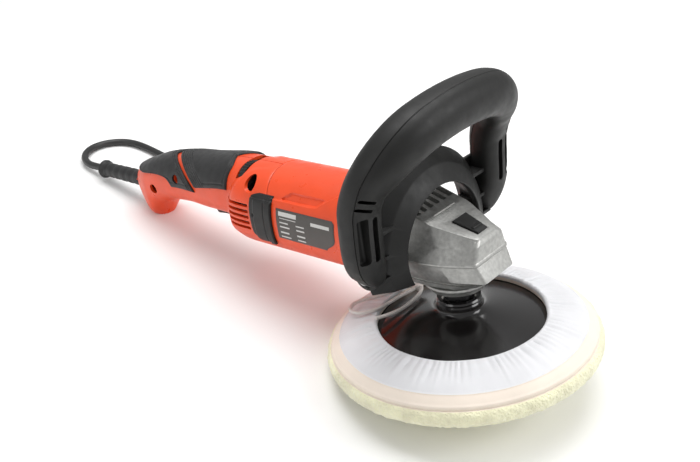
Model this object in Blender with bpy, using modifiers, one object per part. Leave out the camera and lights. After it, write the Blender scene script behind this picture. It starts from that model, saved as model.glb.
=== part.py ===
"""Rotary polisher with a loop handle, resting tail down on its bonnet and on the foot of its rear handle.

The tool is modelled in its own frame: the spindle is the Z axis, the bonnet's working face is a little
above z = 0 and the motor lies along -X. One empty then tips the whole tool back onto the ground.
"""
import math

import bmesh
import bpy
from mathutils import Matrix, Vector

# Driving dimensions, in metres.
PITCH = math.radians(10.83)      # how far the nose points up while the tool rests
REST_RADIUS = 0.088              # where the bonnet's face meets the ground, behind the spindle
ORIGIN_SHIFT = 0.16735           # puts the origin under the middle of the tool
FACE_Z = 0.0050                  # working face of the bonnet
GAP = 0.0003                     # air left between touching pieces
PAD_GAP = 0.0005                 # the same under the soft pads, which cross the shells' joint
MOTOR_Z = 0.089                  # height of the motor's axis
BONNET_RADIUS = 0.100
PAD_RADIUS = 0.087
OPENING_RADIUS = 0.0595          # mouth of the bonnet around the pad's cone
WALL = 0.0027                    # wall of the plastic shells
SQUARENESS = 2.4                 # exponent of the body's superelliptic section
SEAM_X = -0.150                  # joint between the motor barrel and the rear shells
BARREL_FRONT = -0.0625
GEAR_RATIO = 4
PINION_TEETH = 10
CROWN_RADIUS = 0.020             # pitch radius of the crown gear
RING_Z = 0.092                   # centre of the loop handle's ring
BOLT = Vector((-0.026, 0.0, 0.089))
DIAL_CENTRE = Vector((-0.1915, -0.0066, 0.109))
DIAL_RADIUS = 0.016
TRIGGER_PIVOT = Vector((-0.226, 0.0, 0.0785))
RELIEF_Z = 0.080
RELIEF_END = -0.4215
CORD_RADIUS = 0.0035
STRING_RADIUS = 0.0014
COIL_CENTRE = Vector((-0.020, 0.140, 0.0))
COIL_OUTER = 0.049
COIL_INNER = 0.028
COIL_BOTTOM = 0.0018
COIL_TOP = 0.0238
PLUG_REAR = -0.1080              # where the lead enters the plug
PLUG_Y = 0.1000
PLUG_Z = 0.0095

FLAT_ANGLE = math.radians(0.01)   # faces less flat than this are split
CASE_SCREW_REACH = 0.0219        # from the motor's axis to each case screw, along Y and along Z

# Sections of the body from the seam to the tail: x, centre height, half width, half height.
BODY = [
    (-0.0600, 0.0890, 0.0350, 0.0360),
    (-0.1500, 0.0890, 0.0350, 0.0360),
    (-0.1750, 0.0885, 0.0350, 0.0365),
    (-0.1900, 0.0888, 0.0345, 0.0362),
    (-0.2020, 0.0905, 0.0318, 0.0342),
    (-0.2120, 0.0948, 0.0285, 0.0292),
    (-0.2200, 0.0970, 0.0268, 0.0262),
    (-0.2360, 0.0965, 0.0252, 0.0246),
    (-0.2500, 0.0957, 0.0240, 0.0238),
    (-0.2750, 0.0950, 0.0222, 0.0225),
    (-0.3000, 0.0920, 0.0215, 0.0215),
    (-0.3250, 0.0860, 0.0208, 0.0215),
    (-0.3400, 0.0820, 0.0190, 0.0205),
    (-0.3530, 0.0805, 0.0160, 0.0165),
    (-0.3620, 0.0800, 0.0115, 0.0120),
]

# Sections of the foot: height, centre x, half length, half width.
FOOT = [
    (0.0440, -0.3450, 0.0115, 0.0092),
    (0.0530, -0.3445, 0.0125, 0.0102),
    (0.0660, -0.3420, 0.0165, 0.0130),
    (0.0800, -0.3390, 0.0205, 0.0160),
]

# Rear edge of the rear grip pad: degrees from the top, x.
PAD_TAIL = [(0, -0.346), (34, -0.344), (54, -0.332), (70, -0.301), (76, -0.292), (92, -0.284)]

# The shells' screws, as x and z; they run along Y.
SHELL_SCREWS = [(-0.174, 0.116), (-0.276, 0.102), (-0.316, 0.085), (-0.196, 0.064)]


def clear_scene():
    for old in list(bpy.data.objects):
        bpy.data.objects.remove(old, do_unlink=True)


def collection(name):
    made = bpy.data.collections.new(name)
    bpy.context.scene.collection.children.link(made)
    return made


clear_scene()
PARTS = collection("rotary_polisher")
CUTTERS = collection("cutters")


def make_material(name, colour, roughness, metallic=0.0):
    material = bpy.data.materials.new(name)
    material.use_nodes = True
    shader = material.node_tree.nodes["Principled BSDF"]
    shader.inputs["Base Color"].default_value = (*colour, 1.0)
    shader.inputs["Roughness"].default_value = roughness
    shader.inputs["Metallic"].default_value = metallic
    return material


ORANGE = ((0.80, 0.09, 0.02), 0.42)
BLACK = ((0.022, 0.022, 0.022), 0.5)
GLOSS_BLACK = ((0.012, 0.012, 0.012), 0.12)
SOFT_BLACK = ((0.03, 0.03, 0.031), 0.6)
SILVER = ((0.50, 0.50, 0.48), 0.45, 0.8)
STEEL = ((0.55, 0.55, 0.56), 0.3, 1.0)
COPPER = ((0.72, 0.33, 0.14), 0.35, 1.0)
BRASS = ((0.75, 0.58, 0.25), 0.3, 1.0)
CARBON = ((0.04, 0.04, 0.045), 0.55)
FOAM = ((0.05, 0.05, 0.055), 0.9)
CLOTH = ((0.85, 0.84, 0.80), 0.9)
PLATE = ((0.07, 0.065, 0.06), 0.45)


def empty(name, location=(0, 0, 0), parent=None):
    made = bpy.data.objects.new(name, None)
    made.location = location
    made.parent = parent
    PARTS.objects.link(made)
    return made


TOOL = empty("tool_frame", (ORIGIN_SHIFT, 0.0, REST_RADIUS * math.sin(PITCH) - FACE_Z * math.cos(PITCH)))
TOOL.rotation_euler = (0.0, -PITCH, 0.0)
SPINDLE_AXIS = empty("spindle_axis", parent=TOOL)
MOTOR_AXIS = empty("motor_axis", (0.0, 0.0, MOTOR_Z), TOOL)
MOTOR_AXIS.rotation_euler = (0.0, math.pi / 2, 0.0)
DIAL_AXIS = empty("dial_axis", DIAL_CENTRE, TOOL)
TRIGGER_AXIS = empty("trigger_axis", TRIGGER_PIVOT, TOOL)


def world(x, y, z):
    """A point of the tool's frame, in world coordinates."""
    lean = Matrix.Rotation(-PITCH, 4, "Y")
    return Matrix.Translation(TOOL.location) @ lean @ Vector((x, y, z))


def place(name, mesh, finish=None, parent=TOOL, location=(0, 0, 0), rotation=(0, 0, 0)):
    """An object of a mesh: a part if it has a finish, or else a cutter."""
    made = bpy.data.objects.new(name, mesh)
    made.location = location
    made.rotation_euler = rotation
    made.parent = parent
    if finish is None:
        made.display_type = "WIRE"
        made.hide_render = True
        CUTTERS.objects.link(made)
    else:
        made.data.materials.append(make_material(name, *finish))
        PARTS.objects.link(made)
    return made


def mesh_of(name, bm, smooth_angle=None):
    mesh = bpy.data.meshes.new(name)
    bmesh.ops.recalc_face_normals(bm, faces=bm.faces)
    bm.to_mesh(mesh)
    bm.free()
    if smooth_angle is not None:
        mesh.shade_smooth()
        mesh.set_sharp_from_angle(angle=math.radians(smooth_angle))
    return mesh


def box(name, low, high, finish=None, parent=TOOL, edge=0.0):
    """A box between two corners, with its edges rounded by edge."""
    bm = bmesh.new()
    bmesh.ops.create_cube(bm, size=1.0)
    size = [b - a for a, b in zip(low, high)]
    middle = [(a + b) / 2 for a, b in zip(low, high)]
    bmesh.ops.scale(bm, vec=size, verts=bm.verts)
    bmesh.ops.translate(bm, vec=middle, verts=bm.verts)
    made = place(name, mesh_of(name, bm), finish, parent)
    if edge:
        bevel = made.modifiers.new("edges", "BEVEL")
        bevel.width = edge
        bevel.segments = 2
    return made


AXIS_TURN = {"X": (0, math.pi / 2, 0), "Y": (-math.pi / 2, 0, 0), "Z": (0, 0, 0)}


def rod(name, radius, start, length, axis, finish=None, parent=TOOL, sides=24):
    """A cylinder from start along +axis."""
    bm = bmesh.new()
    bmesh.ops.create_cone(bm, cap_ends=True, segments=sides, radius1=radius, radius2=radius, depth=length)
    bmesh.ops.translate(bm, vec=(0, 0, length / 2), verts=bm.verts)
    return place(name, mesh_of(name, bm, 40), finish, parent, start, AXIS_TURN[axis])


def turned(name, outline, finish=None, parent=TOOL, location=(0, 0, 0), rotation=(0, 0, 0), steps=32,
           ring=False):
    """A turned solid. The outline is radius and height, down the outer side from top to bottom."""
    mesh = bpy.data.meshes.new(name)
    points = [(radius, 0.0, height) for radius, height in outline]
    edges = [(i, i + 1) for i in range(len(points) - 1)]
    if ring:
        edges.append((len(points) - 1, 0))
    mesh.from_pydata(points, edges, [])
    made = place(name, mesh, finish, parent, location, rotation)
    screw = made.modifiers.new("turn", "SCREW")
    screw.axis = "Z"
    screw.steps = steps
    screw.render_steps = steps
    screw.use_merge_vertices = True
    screw.merge_threshold = 0.00001
    screw.use_smooth_shade = False
    return made


def collar(name, inner, outer, low, high, finish=None, parent=TOOL, steps=32):
    """A plain ring around its parent's Z axis."""
    outline = [(outer, high), (outer, low), (inner, low), (inner, high)]
    return turned(name, outline, finish, parent, steps=steps, ring=True)


def loft(name, rings, finish=None, parent=TOOL):
    """A solid through rings of points, capped at both ends."""
    bm = bmesh.new()
    rows = [[bm.verts.new(point) for point in ring] for ring in rings]
    count = len(rows[0])
    for first, second in zip(rows, rows[1:]):
        for i in range(count):
            j = (i + 1) % count
            bm.faces.new((first[i], first[j], second[j], second[i]))
    bm.faces.new(rows[0])
    bm.faces.new(list(reversed(rows[-1])))
    bmesh.ops.connect_verts_nonplanar(bm, angle_limit=FLAT_ANGLE, faces=bm.faces)
    return place(name, mesh_of(name, bm, 35), finish, parent)


def tube(name, points, radius, finish, parent=None, resolution=2, sizes=None):
    """A round tube along points, as a mesh with closed ends."""
    curve = bpy.data.curves.new(name, "CURVE")
    curve.dimensions = "3D"
    curve.bevel_depth = radius
    curve.bevel_resolution = resolution
    curve.use_fill_caps = True
    spline = curve.splines.new("POLY")
    spline.points.add(len(points) - 1)
    for i, point in enumerate(points):
        spline.points[i].co = (*point, 1.0)
        spline.points[i].radius = sizes[i] if sizes else 1.0
    made = bpy.data.objects.new(name, curve)
    made.parent = parent
    made.data.materials.append(make_material(name, *finish))
    PARTS.objects.link(made)
    return made


def as_mesh(curve_object):
    """The same tube as a mesh object, so that it can be cut and joined."""
    bpy.context.view_layer.update()
    graph = bpy.context.evaluated_depsgraph_get()
    mesh = bpy.data.meshes.new_from_object(curve_object.evaluated_get(graph))
    bm = bmesh.new()
    bm.from_mesh(mesh)
    bmesh.ops.remove_doubles(bm, verts=bm.verts, dist=0.00001)
    bmesh.ops.recalc_face_normals(bm, faces=bm.faces)
    bm.to_mesh(mesh)
    bm.free()
    name = curve_object.name
    made = bpy.data.objects.new(name + "_mesh", mesh)
    made.matrix_world = curve_object.matrix_world
    PARTS.objects.link(made)
    bpy.data.objects.remove(curve_object, do_unlink=True)
    made.name = name
    return made


def combine(target, other, operation="DIFFERENCE"):
    """A Boolean of another object on target; the other one becomes a cutter."""
    boolean = target.modifiers.new(other.name, "BOOLEAN")
    boolean.operation = operation
    boolean.object = other
    boolean.solver = "EXACT"
    if other.name not in CUTTERS.objects:
        CUTTERS.objects.link(other)
        PARTS.objects.unlink(other)
        other.display_type = "WIRE"
        other.hide_render = True


def between(table, key):
    """The row of a table at a key, by straight interpolation."""
    for low, high in zip(table, table[1:]):
        if min(low[0], high[0]) <= key <= max(low[0], high[0]):
            share = (key - low[0]) / (high[0] - low[0])
            return [a + (b - a) * share for a, b in zip(low, high)]
    return list(table[-1] if abs(key - table[-1][0]) < abs(key - table[0][0]) else table[0])


def superellipse(angle, half_width, half_height):
    """A point of the section, with the angle counted from the top towards +Y."""
    power = 2 / SQUARENESS
    y = math.copysign(abs(math.sin(angle)) ** power, math.sin(angle)) * half_width
    z = math.copysign(abs(math.cos(angle)) ** power, math.cos(angle)) * half_height
    return y, z


def body_point(x, angle, offset=0.0):
    _, centre, half_width, half_height = between(BODY, x)
    y, z = superellipse(angle, half_width + offset, half_height + offset)
    return Vector((x, y, centre + z))


def wall_reach(x, z):
    """How far out the body's skin is at one station and height."""
    _, centre, half_width, half_height = between(BODY, x)
    share = min(1.0, abs(z - centre) / half_height)
    return half_width * (1 - share ** SQUARENESS) ** (1 / SQUARENESS)


def body_solid(name, stations, offset=0.0, finish=None, sides=20):
    rings = []
    for x in stations:
        rings.append([body_point(x, 2 * math.pi * i / sides, offset) for i in range(sides)])
    return loft(name, rings, finish)


def foot_solid(name, offset=0.0, low=None, finish=None, sides=16):
    rings = []
    for height, centre, half_length, half_width in FOOT:
        z = height if low is None else max(height, low)
        turn = [2 * math.pi * i / sides for i in range(sides)]
        rings.append([
            (centre + (half_length + offset) * math.cos(t), (half_width + offset) * math.sin(t), z)
            for t in turn
        ])
    return loft(name, rings, finish)


def skin_patch(name, edges, angles, offset, thickness, finish):
    """A curved plate on the body. edges gives the front and rear x for each share of the angle range."""
    bm = bmesh.new()
    columns = 7
    rows = []
    for angle in angles:
        front, rear = edges(angle)
        row = []
        for i in range(columns):
            x = front + (rear - front) * i / (columns - 1)
            row.append(bm.verts.new(body_point(x, angle, offset)))
        rows.append(row)
    for first, second in zip(rows, rows[1:]):
        for i in range(columns - 1):
            bm.faces.new((first[i], first[i + 1], second[i + 1], second[i]))
    mesh = mesh_of(name, bm, 35)
    made = place(name, mesh, finish)
    outward = mesh.polygons[len(mesh.polygons) // 2]
    centre = Vector((outward.center.x, 0.0, MOTOR_Z))
    if outward.normal.dot(outward.center - centre) < 0:
        mesh.flip_normals()
    solidify = made.modifiers.new("thickness", "SOLIDIFY")
    solidify.thickness = thickness
    solidify.offset = 1.0
    return made


def floor_cutter():
    return box("ground_cutter", (-0.7, -0.3, -0.05), (0.3, 0.3, 0.0), parent=None)


# ---------------------------------------------------------------- gear head

def head_ring(z, front, nose, chamfer, side, back=-0.045):
    """One level of the gear case in plan: nose, chamfered corners and straight sides."""
    half = [(front, nose), chamfer, side, (back, side[1])]
    return [(x, y, z) for x, y in half] + [(x, -y, z) for x, y in reversed(half)]


def top_height(x):
    """The sloping top of the gear case."""
    return 0.112 - 0.32 * (x - 0.004)


def head_solid():
    rings = [
        head_ring(0.0660, 0.0255, 0.0100, (0.0140, 0.0205), (-0.0040, 0.0245)),
        head_ring(0.0715, 0.0305, 0.0130, (0.0155, 0.0225), (-0.0050, 0.0262)),
        head_ring(0.0755, 0.0340, 0.0150, (0.0160, 0.0245), (-0.0055, 0.0278)),
        head_ring(0.0870, 0.0298, 0.0182, (0.0095, 0.0280), (-0.0080, 0.0322)),
        head_ring(0.0893, 0.0298, 0.0182, (0.0095, 0.0280), (-0.0080, 0.0322)),
        head_ring(0.1005, 0.0295, 0.0130, (0.0215, 0.0192), (0.0040, 0.0250)),
    ]
    top = head_ring(0.0, 0.0280, 0.0100, (0.0160, 0.0160), (0.0000, 0.0222))
    rings.append([(x, y, top_height(x)) for x, y, _ in top])
    return loft("gear_case", rings, SILVER)


def add_gear_case():
    case = head_solid()
    neck = turned("neck_blank", [
        (0.0, -0.0400), (0.0250, -0.0400), (0.0262, -0.0550), (0.0355, -0.0550), (0.0355, -0.0620),
        (0.0, -0.0620),
    ], parent=MOTOR_AXIS, steps=32)
    combine(case, neck, "UNION")
    for side in (1, -1):
        start = (BOLT.x, 0.0200 if side > 0 else -0.0435, BOLT.z)
        boss = rod(f"handle_boss_{side}", 0.0085, start, 0.0235, "Y", sides=20)
        combine(case, boss, "UNION")
    chamber = turned("gear_chamber", [
        (0.0, 0.1055), (0.0093, 0.1055), (0.0093, 0.0960), (0.0215, 0.0960), (0.0215, 0.0600), (0.0, 0.0600),
    ], parent=SPINDLE_AXIS, steps=32)
    combine(case, chamber)
    tunnel = turned("pinion_tunnel", [
        (0.0, -0.0100), (0.0075, -0.0100), (0.0075, -0.0360), (0.0113, -0.0360), (0.0113, -0.0700),
        (0.0, -0.0700),
    ], parent=MOTOR_AXIS, steps=24)
    combine(case, tunnel)
    for side in (1, -1):
        start = (BOLT.x, 0.0160 if side > 0 else -0.0600, BOLT.z)
        combine(case, rod(f"handle_thread_{side}", 0.0043, start, 0.044, "Y"))
    for x, y, z in case_screw_places():
        combine(case, rod(f"screw_way_{y:.3f}_{z:.3f}", 0.0022, (x - 0.0100, y, z), 0.0140, "X", sides=12))
    combine(case, button_solid("button_well", 0.0004, -0.0046, 0.0080))
    combine(case, rod("lock_pin_way", 0.0024, (0.0150, 0, 0.088), 0.022, "Z", sides=16))


def case_screw_places():
    reach = CASE_SCREW_REACH
    return [(-0.0550, sy * reach, MOTOR_Z + sz * reach) for sy in (1, -1) for sz in (1, -1)]


def add_case_screws():
    for number, (x, y, z) in enumerate(case_screw_places(), start=1):
        turned(f"case_screw_{number}", [
            (0.0, 0.0040), (0.0036, 0.0040), (0.0036, 0.0003), (0.0019, 0.0003), (0.0019, -0.0120), (0.0, -0.0120),
        ], STEEL, TOOL, (x, y, z), (0, math.pi / 2, 0), steps=12)


def button_solid(name, grow, low, high, finish=None):
    """The spindle lock's button or its well, a tapering plate that follows the sloping top."""
    rings = []
    for level in (low, high):
        outline = [(0.0070 - grow, 0.0078 + grow), (0.0255 + grow, 0.0052 + grow)]
        outline += [(x, -y) for x, y in reversed(outline)]
        rings.append([(x, y, top_height(x) + level) for x, y in outline])
    return loft(name, rings, finish)


def add_spindle_lock():
    button = button_solid("spindle_lock_button", 0.0, -0.0020, 0.0013, BLACK)
    pin = rod("lock_pin", 0.0020, (0.0150, 0, 0.0895), 0.0180, "Z", sides=16)
    combine(button, pin, "UNION")


def add_bearing_cover():
    turned("bearing_cover", [
        (0.0205, 0.0720), (0.0205, 0.0657), (0.0240, 0.0657), (0.0240, 0.0635), (0.0207, 0.0600),
        (0.0200, 0.0585), (0.0092, 0.0585), (0.0092, 0.0615), (0.0150, 0.0615), (0.0150, 0.0720),
    ], SILVER, SPINDLE_AXIS, steps=28, ring=True)


def add_spindle():
    turned("spindle", [
        (0.0, 0.1050), (0.0045, 0.1050), (0.0045, 0.0950), (0.0060, 0.0950), (0.0060, 0.0612),
        (0.0087, 0.0612), (0.0087, 0.0545), (0.0120, 0.0545), (0.0120, 0.0500), (0.0070, 0.0500),
        (0.0070, 0.0300), (0.0, 0.0300),
    ], STEEL, SPINDLE_AXIS, steps=20)
    collar("lower_spindle_bearing", 0.0063, 0.0147, 0.0620, 0.0710, STEEL, SPINDLE_AXIS)
    collar("upper_spindle_bearing", 0.0048, 0.0090, 0.0968, 0.1050, STEEL, SPINDLE_AXIS)


def bevel_gear(name, teeth, radius, cone, finish, parent, hub):
    """A straight bevel gear whose cone's tip is at its parent's origin and opens towards -Z.

    radius is the pitch radius at the large end, cone the distance from the tip to that end along Z.
    """
    addendum = 0.00062
    dedendum = 0.00085
    small = 0.66
    rings = []
    hub_radius, hub_length = hub
    for share in (1.0, small):
        ring = []
        for tooth in range(teeth):
            step = 2 * math.pi / teeth
            for turn, height in ((-0.36, -dedendum), (-0.13, addendum), (0.13, addendum), (0.36, -dedendum)):
                slant = math.atan2(radius, cone)
                reach = radius + height * math.cos(slant)
                depth = cone - height * math.sin(slant)
                angle = step * (tooth + turn)
                ring.append((
                    share * reach * math.cos(angle), share * reach * math.sin(angle), -share * depth,
                ))
        rings.append(ring)
    count = len(rings[0])
    back = []
    for i in range(count):
        angle = math.atan2(rings[0][i][1], rings[0][i][0])
        back.append((hub_radius * math.cos(angle), hub_radius * math.sin(angle), -cone - hub_length))
    rings.insert(0, back)
    return loft(name, rings, finish, parent)


def add_gears():
    """Crown and pinion share the point where the motor's axis meets the spindle's."""
    tip = empty("gear_tip", (0, 0, MOTOR_Z), SPINDLE_AXIS)
    pinion_radius = CROWN_RADIUS / GEAR_RATIO
    crown_teeth = PINION_TEETH * GEAR_RATIO
    crown = bevel_gear("crown_gear", crown_teeth, CROWN_RADIUS, pinion_radius, STEEL, tip, (0.0180, 0.0055))
    combine(crown, rod("crown_bore", 0.0063, (0, 0, 0.0600), 0.040, "Z"))
    pinion = bevel_gear("pinion_gear", PINION_TEETH, pinion_radius, CROWN_RADIUS, STEEL, MOTOR_AXIS, (0.0056, 0.012))
    pinion.rotation_euler = (0, 0, math.pi / PINION_TEETH)
    combine(pinion, rod("pinion_bore", 0.0033, (-0.040, 0, MOTOR_Z), 0.0160, "X"))


# ---------------------------------------------------------------- motor

def add_armature():
    """Shaft, core, windings, commutator and fan turn together on the motor's axis."""
    turned("armature_shaft", [
        (0.0, -0.0245), (0.0030, -0.0245), (0.0030, -0.0325), (0.0040, -0.0325), (0.0040, -0.1870),
        (0.0, -0.1870),
    ], STEEL, MOTOR_AXIS, steps=20)
    collar("armature_core", 0.0068, 0.0200, -0.1280, -0.0860, STEEL, MOTOR_AXIS, 28)
    turned("armature_winding", [
        (0.0165, -0.0795), (0.0165, -0.0857), (0.0065, -0.0857), (0.0065, -0.1283), (0.0165, -0.1283),
        (0.0165, -0.1350), (0.0043, -0.1350), (0.0043, -0.0795),
    ], COPPER, MOTOR_AXIS, steps=20, ring=True)
    collar("commutator", 0.0043, 0.0110, -0.1560, -0.1390, COPPER, MOTOR_AXIS, 24)
    fan = collar("cooling_fan", 0.0043, 0.0255, -0.0720, -0.0695, BLACK, MOTOR_AXIS, 32)
    blades = 12
    for number in range(blades):
        angle = 2 * math.pi * number / blades
        blade = box(f"fan_blade_{number}", (0.0110, -0.0007, -0.0700), (0.0245, 0.0007, -0.0650), parent=MOTOR_AXIS)
        blade.rotation_euler = (0, 0, angle)
        combine(fan, blade, "UNION")


def add_motor():
    add_armature()
    collar("stator_core", 0.0206, 0.0295, -0.1300, -0.0820, STEEL, MOTOR_AXIS, 32)
    collar("front_motor_bearing", 0.0043, 0.0110, -0.0460, -0.0365, STEEL, MOTOR_AXIS, 24)
    collar("rear_motor_bearing", 0.0043, 0.0095, -0.1865, -0.1795, STEEL, MOTOR_AXIS, 24)
    collar("rear_bearing_holder", 0.0098, 0.0300, -0.1855, -0.1815, BLACK, MOTOR_AXIS, 28)
    for side, word in ((1, "left"), (-1, "right")):
        near, far = sorted((side * 0.0113, side * 0.0240))
        box(f"carbon_brush_{word}", (-0.1510, near, MOTOR_Z - 0.0032), (-0.1450, far, MOTOR_Z + 0.0032), CARBON)
        near, far = sorted((side * 0.0135, side * 0.0290))
        holder = box(f"brush_holder_{word}", (-0.1535, near, MOTOR_Z - 0.0055), (-0.1425, far, MOTOR_Z + 0.0055), BRASS)
        near, far = sorted((side * 0.0100, side * 0.0270))
        combine(holder, box(f"brush_way_{word}", (-0.1513, near, MOTOR_Z - 0.0035), (-0.1447, far, MOTOR_Z + 0.0035)))


# ---------------------------------------------------------------- housing

def body_stations(front, rear):
    inner = [row[0] for row in BODY if rear < row[0] < front]
    return [front] + inner + [rear]


def add_motor_housing():
    barrel = body_solid("motor_housing", [BARREL_FRONT, SEAM_X + GAP / 2], 0.0, ORANGE)
    combine(barrel, body_solid("barrel_room", [BARREL_FRONT + 0.01, SEAM_X - 0.01], -0.0030))
    for x, y, z in case_screw_places():
        start = (BARREL_FRONT - 0.0170, y, z)
        combine(barrel, rod(f"case_boss_{y:.3f}_{z:.3f}", 0.0046, start, 0.0170, "X", sides=12), "UNION")
        start = (BARREL_FRONT - 0.0140, y, z)
        combine(barrel, rod(f"case_thread_{y:.3f}_{z:.3f}", 0.0022, start, 0.0200, "X", sides=12))
    combine(barrel, brush_window("left"))
    combine(barrel, brush_window("right"))


WINDOWS = {}


def brush_window(word):
    """The opening in the housing's side under each brush cover."""
    if word not in WINDOWS:
        side = 1 if word == "left" else -1
        near, far = sorted((side * 0.026, side * 0.050))
        WINDOWS[word] = box(f"brush_window_{word}", (-0.1590, near, MOTOR_Z - 0.010), (-0.1460, far, MOTOR_Z + 0.010))
    return WINDOWS[word]


def add_rear_shells():
    """The two halves of the handle, split at y = 0, with bosses for their screws."""
    stations = body_stations(SEAM_X - GAP / 2, -0.3640)
    room_stations = body_stations(SEAM_X + 0.01, -0.3570)
    shared = [
        body_solid("handle_room", room_stations, -WALL),
        rod("relief_way", 0.0068, (-0.380, 0, RELIEF_Z), 0.040, "X"),
        box("trigger_slot", (-0.2530, -0.0082, 0.0500), (-0.2215, 0.0082, 0.0830)),
        box("dial_slot", (-0.1955, -0.0220, 0.1080), (-0.1875, 0.0108, 0.1400)),
        floor_cutter(),
    ]
    foot_room = foot_solid("foot_room", -WALL, low=0.0590)
    for word, side in (("left", 1), ("right", -1)):
        shell = body_solid(f"handle_shell_{word}", stations, 0.0, ORANGE)
        combine(shell, foot_solid(f"foot_blank_{word}"), "UNION")
        combine(shell, shared[0])
        combine(shell, foot_room)
        for number, (x, z) in enumerate(SHELL_SCREWS):
            reach = wall_reach(x, z) - 0.8 * WALL
            boss = rod(f"boss_{word}_{number}", 0.0048, (x, -reach, z), 2 * reach, "Y", sides=12)
            combine(shell, boss, "UNION")
        for cutter in shared[1:]:
            combine(shell, cutter)
        combine(shell, brush_window(word))
        for cutter in vent_cutters(side):
            combine(shell, cutter)
        for number, (x, z) in enumerate(SHELL_SCREWS):
            combine(shell, rod(f"screw_bore_{word}_{number}", 0.0019, (x, -0.02, z), 0.0310, "Y", sides=12))
            if side < 0:
                combine(shell, rod(f"screw_head_bore_{number}", 0.0036, (x, -0.0500, z), 0.0437, "Y", sides=16))
        low, high = (-0.06, GAP / 2) if side > 0 else (-GAP / 2, 0.06)
        combine(shell, box(f"half_space_{word}", (-0.40, low, 0.0), (-0.10, high, 0.16)))


def vent_cutters(side):
    near, far = sorted((side * 0.024, side * 0.045))
    cutters = []
    for number in range(5):
        z = 0.0812 + 0.0048 * number
        cutters.append(box(f"vent_{side}_{number}", (-0.2010, near, z - 0.0011), (-0.1730, far, z + 0.0011)))
    return cutters


def add_shell_screws():
    for number, (x, z) in enumerate(SHELL_SCREWS, start=1):
        turned(f"shell_screw_{number}", [
            (0.0, 0.0030), (0.0032, 0.0030), (0.0032, 0.0003), (0.0016, 0.0003), (0.0016, -0.0160), (0.0, -0.0160),
        ], STEEL, TOOL, (x, -0.0063, z), (math.pi / 2, 0, 0), steps=12)


def add_grip_pads():
    """Soft pads over the top of the handle; the stripe between them slants forward as it goes down."""
    spread = [math.radians(-90 + 12 * i) for i in range(16)]

    def stripe(angle):
        return -0.2890 + 0.0400 * abs(math.degrees(angle)) / 84

    def front_pad(angle):
        crown = max(0.0, 1 - abs(math.degrees(angle)) / 30)
        return -0.2040 - 0.0090 * crown, stripe(angle)

    def rear_pad(angle):
        return stripe(angle) - 0.0055, between(PAD_TAIL, abs(math.degrees(angle)))[1]

    skin_patch("front_grip_pad", front_pad, spread, PAD_GAP, 0.0014, SOFT_BLACK)
    rear = skin_patch("rear_grip_pad", rear_pad, spread, PAD_GAP, 0.0014, SOFT_BLACK)
    x, z = SHELL_SCREWS[1]
    combine(rear, rod("pad_screw_bore", 0.0040, (x, -0.050, z), 0.045, "Y", sides=16))


def add_side_pieces():
    """Brush covers on both sides and the rating plate on the right."""
    span = [math.radians(54 + 11.6 * i) for i in range(6)]
    skin_patch("brush_cover_left", lambda angle: (-0.1445, -0.1685), span, GAP, 0.0016, BLACK)
    skin_patch("brush_cover_right", lambda angle: (-0.1445, -0.1685), [-a for a in span], GAP, 0.0016, BLACK)
    plate = [math.radians(-68 - 6.2 * i) for i in range(6)]
    skin_patch("rating_plate", lambda angle: (-0.0795, -0.1395), plate, GAP, 0.0006, PLATE)


def add_controls():
    """Trigger on its pin, the switch behind it, and the speed dial with its controller."""
    trigger = box("trigger", (-0.0240, -0.0072, -0.0110), (0.0025, 0.0072, 0.0030), BLACK, TRIGGER_AXIS, 0.0012)
    combine(trigger, rod("trigger_bore", 0.0018, (0, -0.02, 0), 0.04, "Y", parent=TRIGGER_AXIS, sides=16))
    rod("trigger_pin", 0.0015, (TRIGGER_PIVOT.x, -0.0120, TRIGGER_PIVOT.z), 0.0240, "Y", STEEL, sides=16)
    box("switch_body", (-0.2540, -0.0085, 0.0850), (-0.2220, 0.0085, 0.1030), BLACK, edge=0.0008)
    knurls = 24
    bm = bmesh.new()
    bmesh.ops.create_cone(bm, cap_ends=True, segments=2 * knurls, radius1=DIAL_RADIUS, radius2=DIAL_RADIUS, depth=0.0070)
    for vert in bm.verts:
        turn = round(math.atan2(vert.co.y, vert.co.x) / (math.pi / knurls))
        if turn % 2:
            vert.co.x *= 0.965
            vert.co.y *= 0.965
    dial = place("speed_dial", mesh_of("speed_dial", bm), BLACK, DIAL_AXIS, rotation=(0, math.pi / 2, 0))
    combine(dial, rod("dial_bore", 0.0031, (-0.01, 0, 0), 0.02, "X", parent=DIAL_AXIS, sides=16))
    x, y, z = DIAL_CENTRE
    controller = box("speed_controller", (x - 0.0200, y - 0.0090, z - 0.0090), (x - 0.0060, y + 0.0090, z + 0.0060), BLACK)
    combine(controller, rod("controller_stub", 0.0028, (x - 0.007, y, z), 0.0110, "X", sides=16), "UNION")


# ---------------------------------------------------------------- loop handle

# Half of the loop's centre line: y, height, x, radius. Its legs stand upright and the grip leans forward.
LOOP = [
    (0.0580, 0.0915, -0.0220, 0.0085),
    (0.0665, 0.0980, -0.0200, 0.0108),
    (0.0712, 0.1065, -0.0182, 0.0122),
    (0.0730, 0.1180, -0.0170, 0.0130),
    (0.0730, 0.1320, -0.0162, 0.0130),
    (0.0728, 0.1460, -0.0145, 0.0132),
    (0.0705, 0.1600, -0.0085, 0.0140),
    (0.0640, 0.1720, -0.0005, 0.0152),
    (0.0530, 0.1815, 0.0055, 0.0161),
    (0.0390, 0.1875, 0.0088, 0.0165),
    (0.0200, 0.1905, 0.0100, 0.0165),
]


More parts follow.
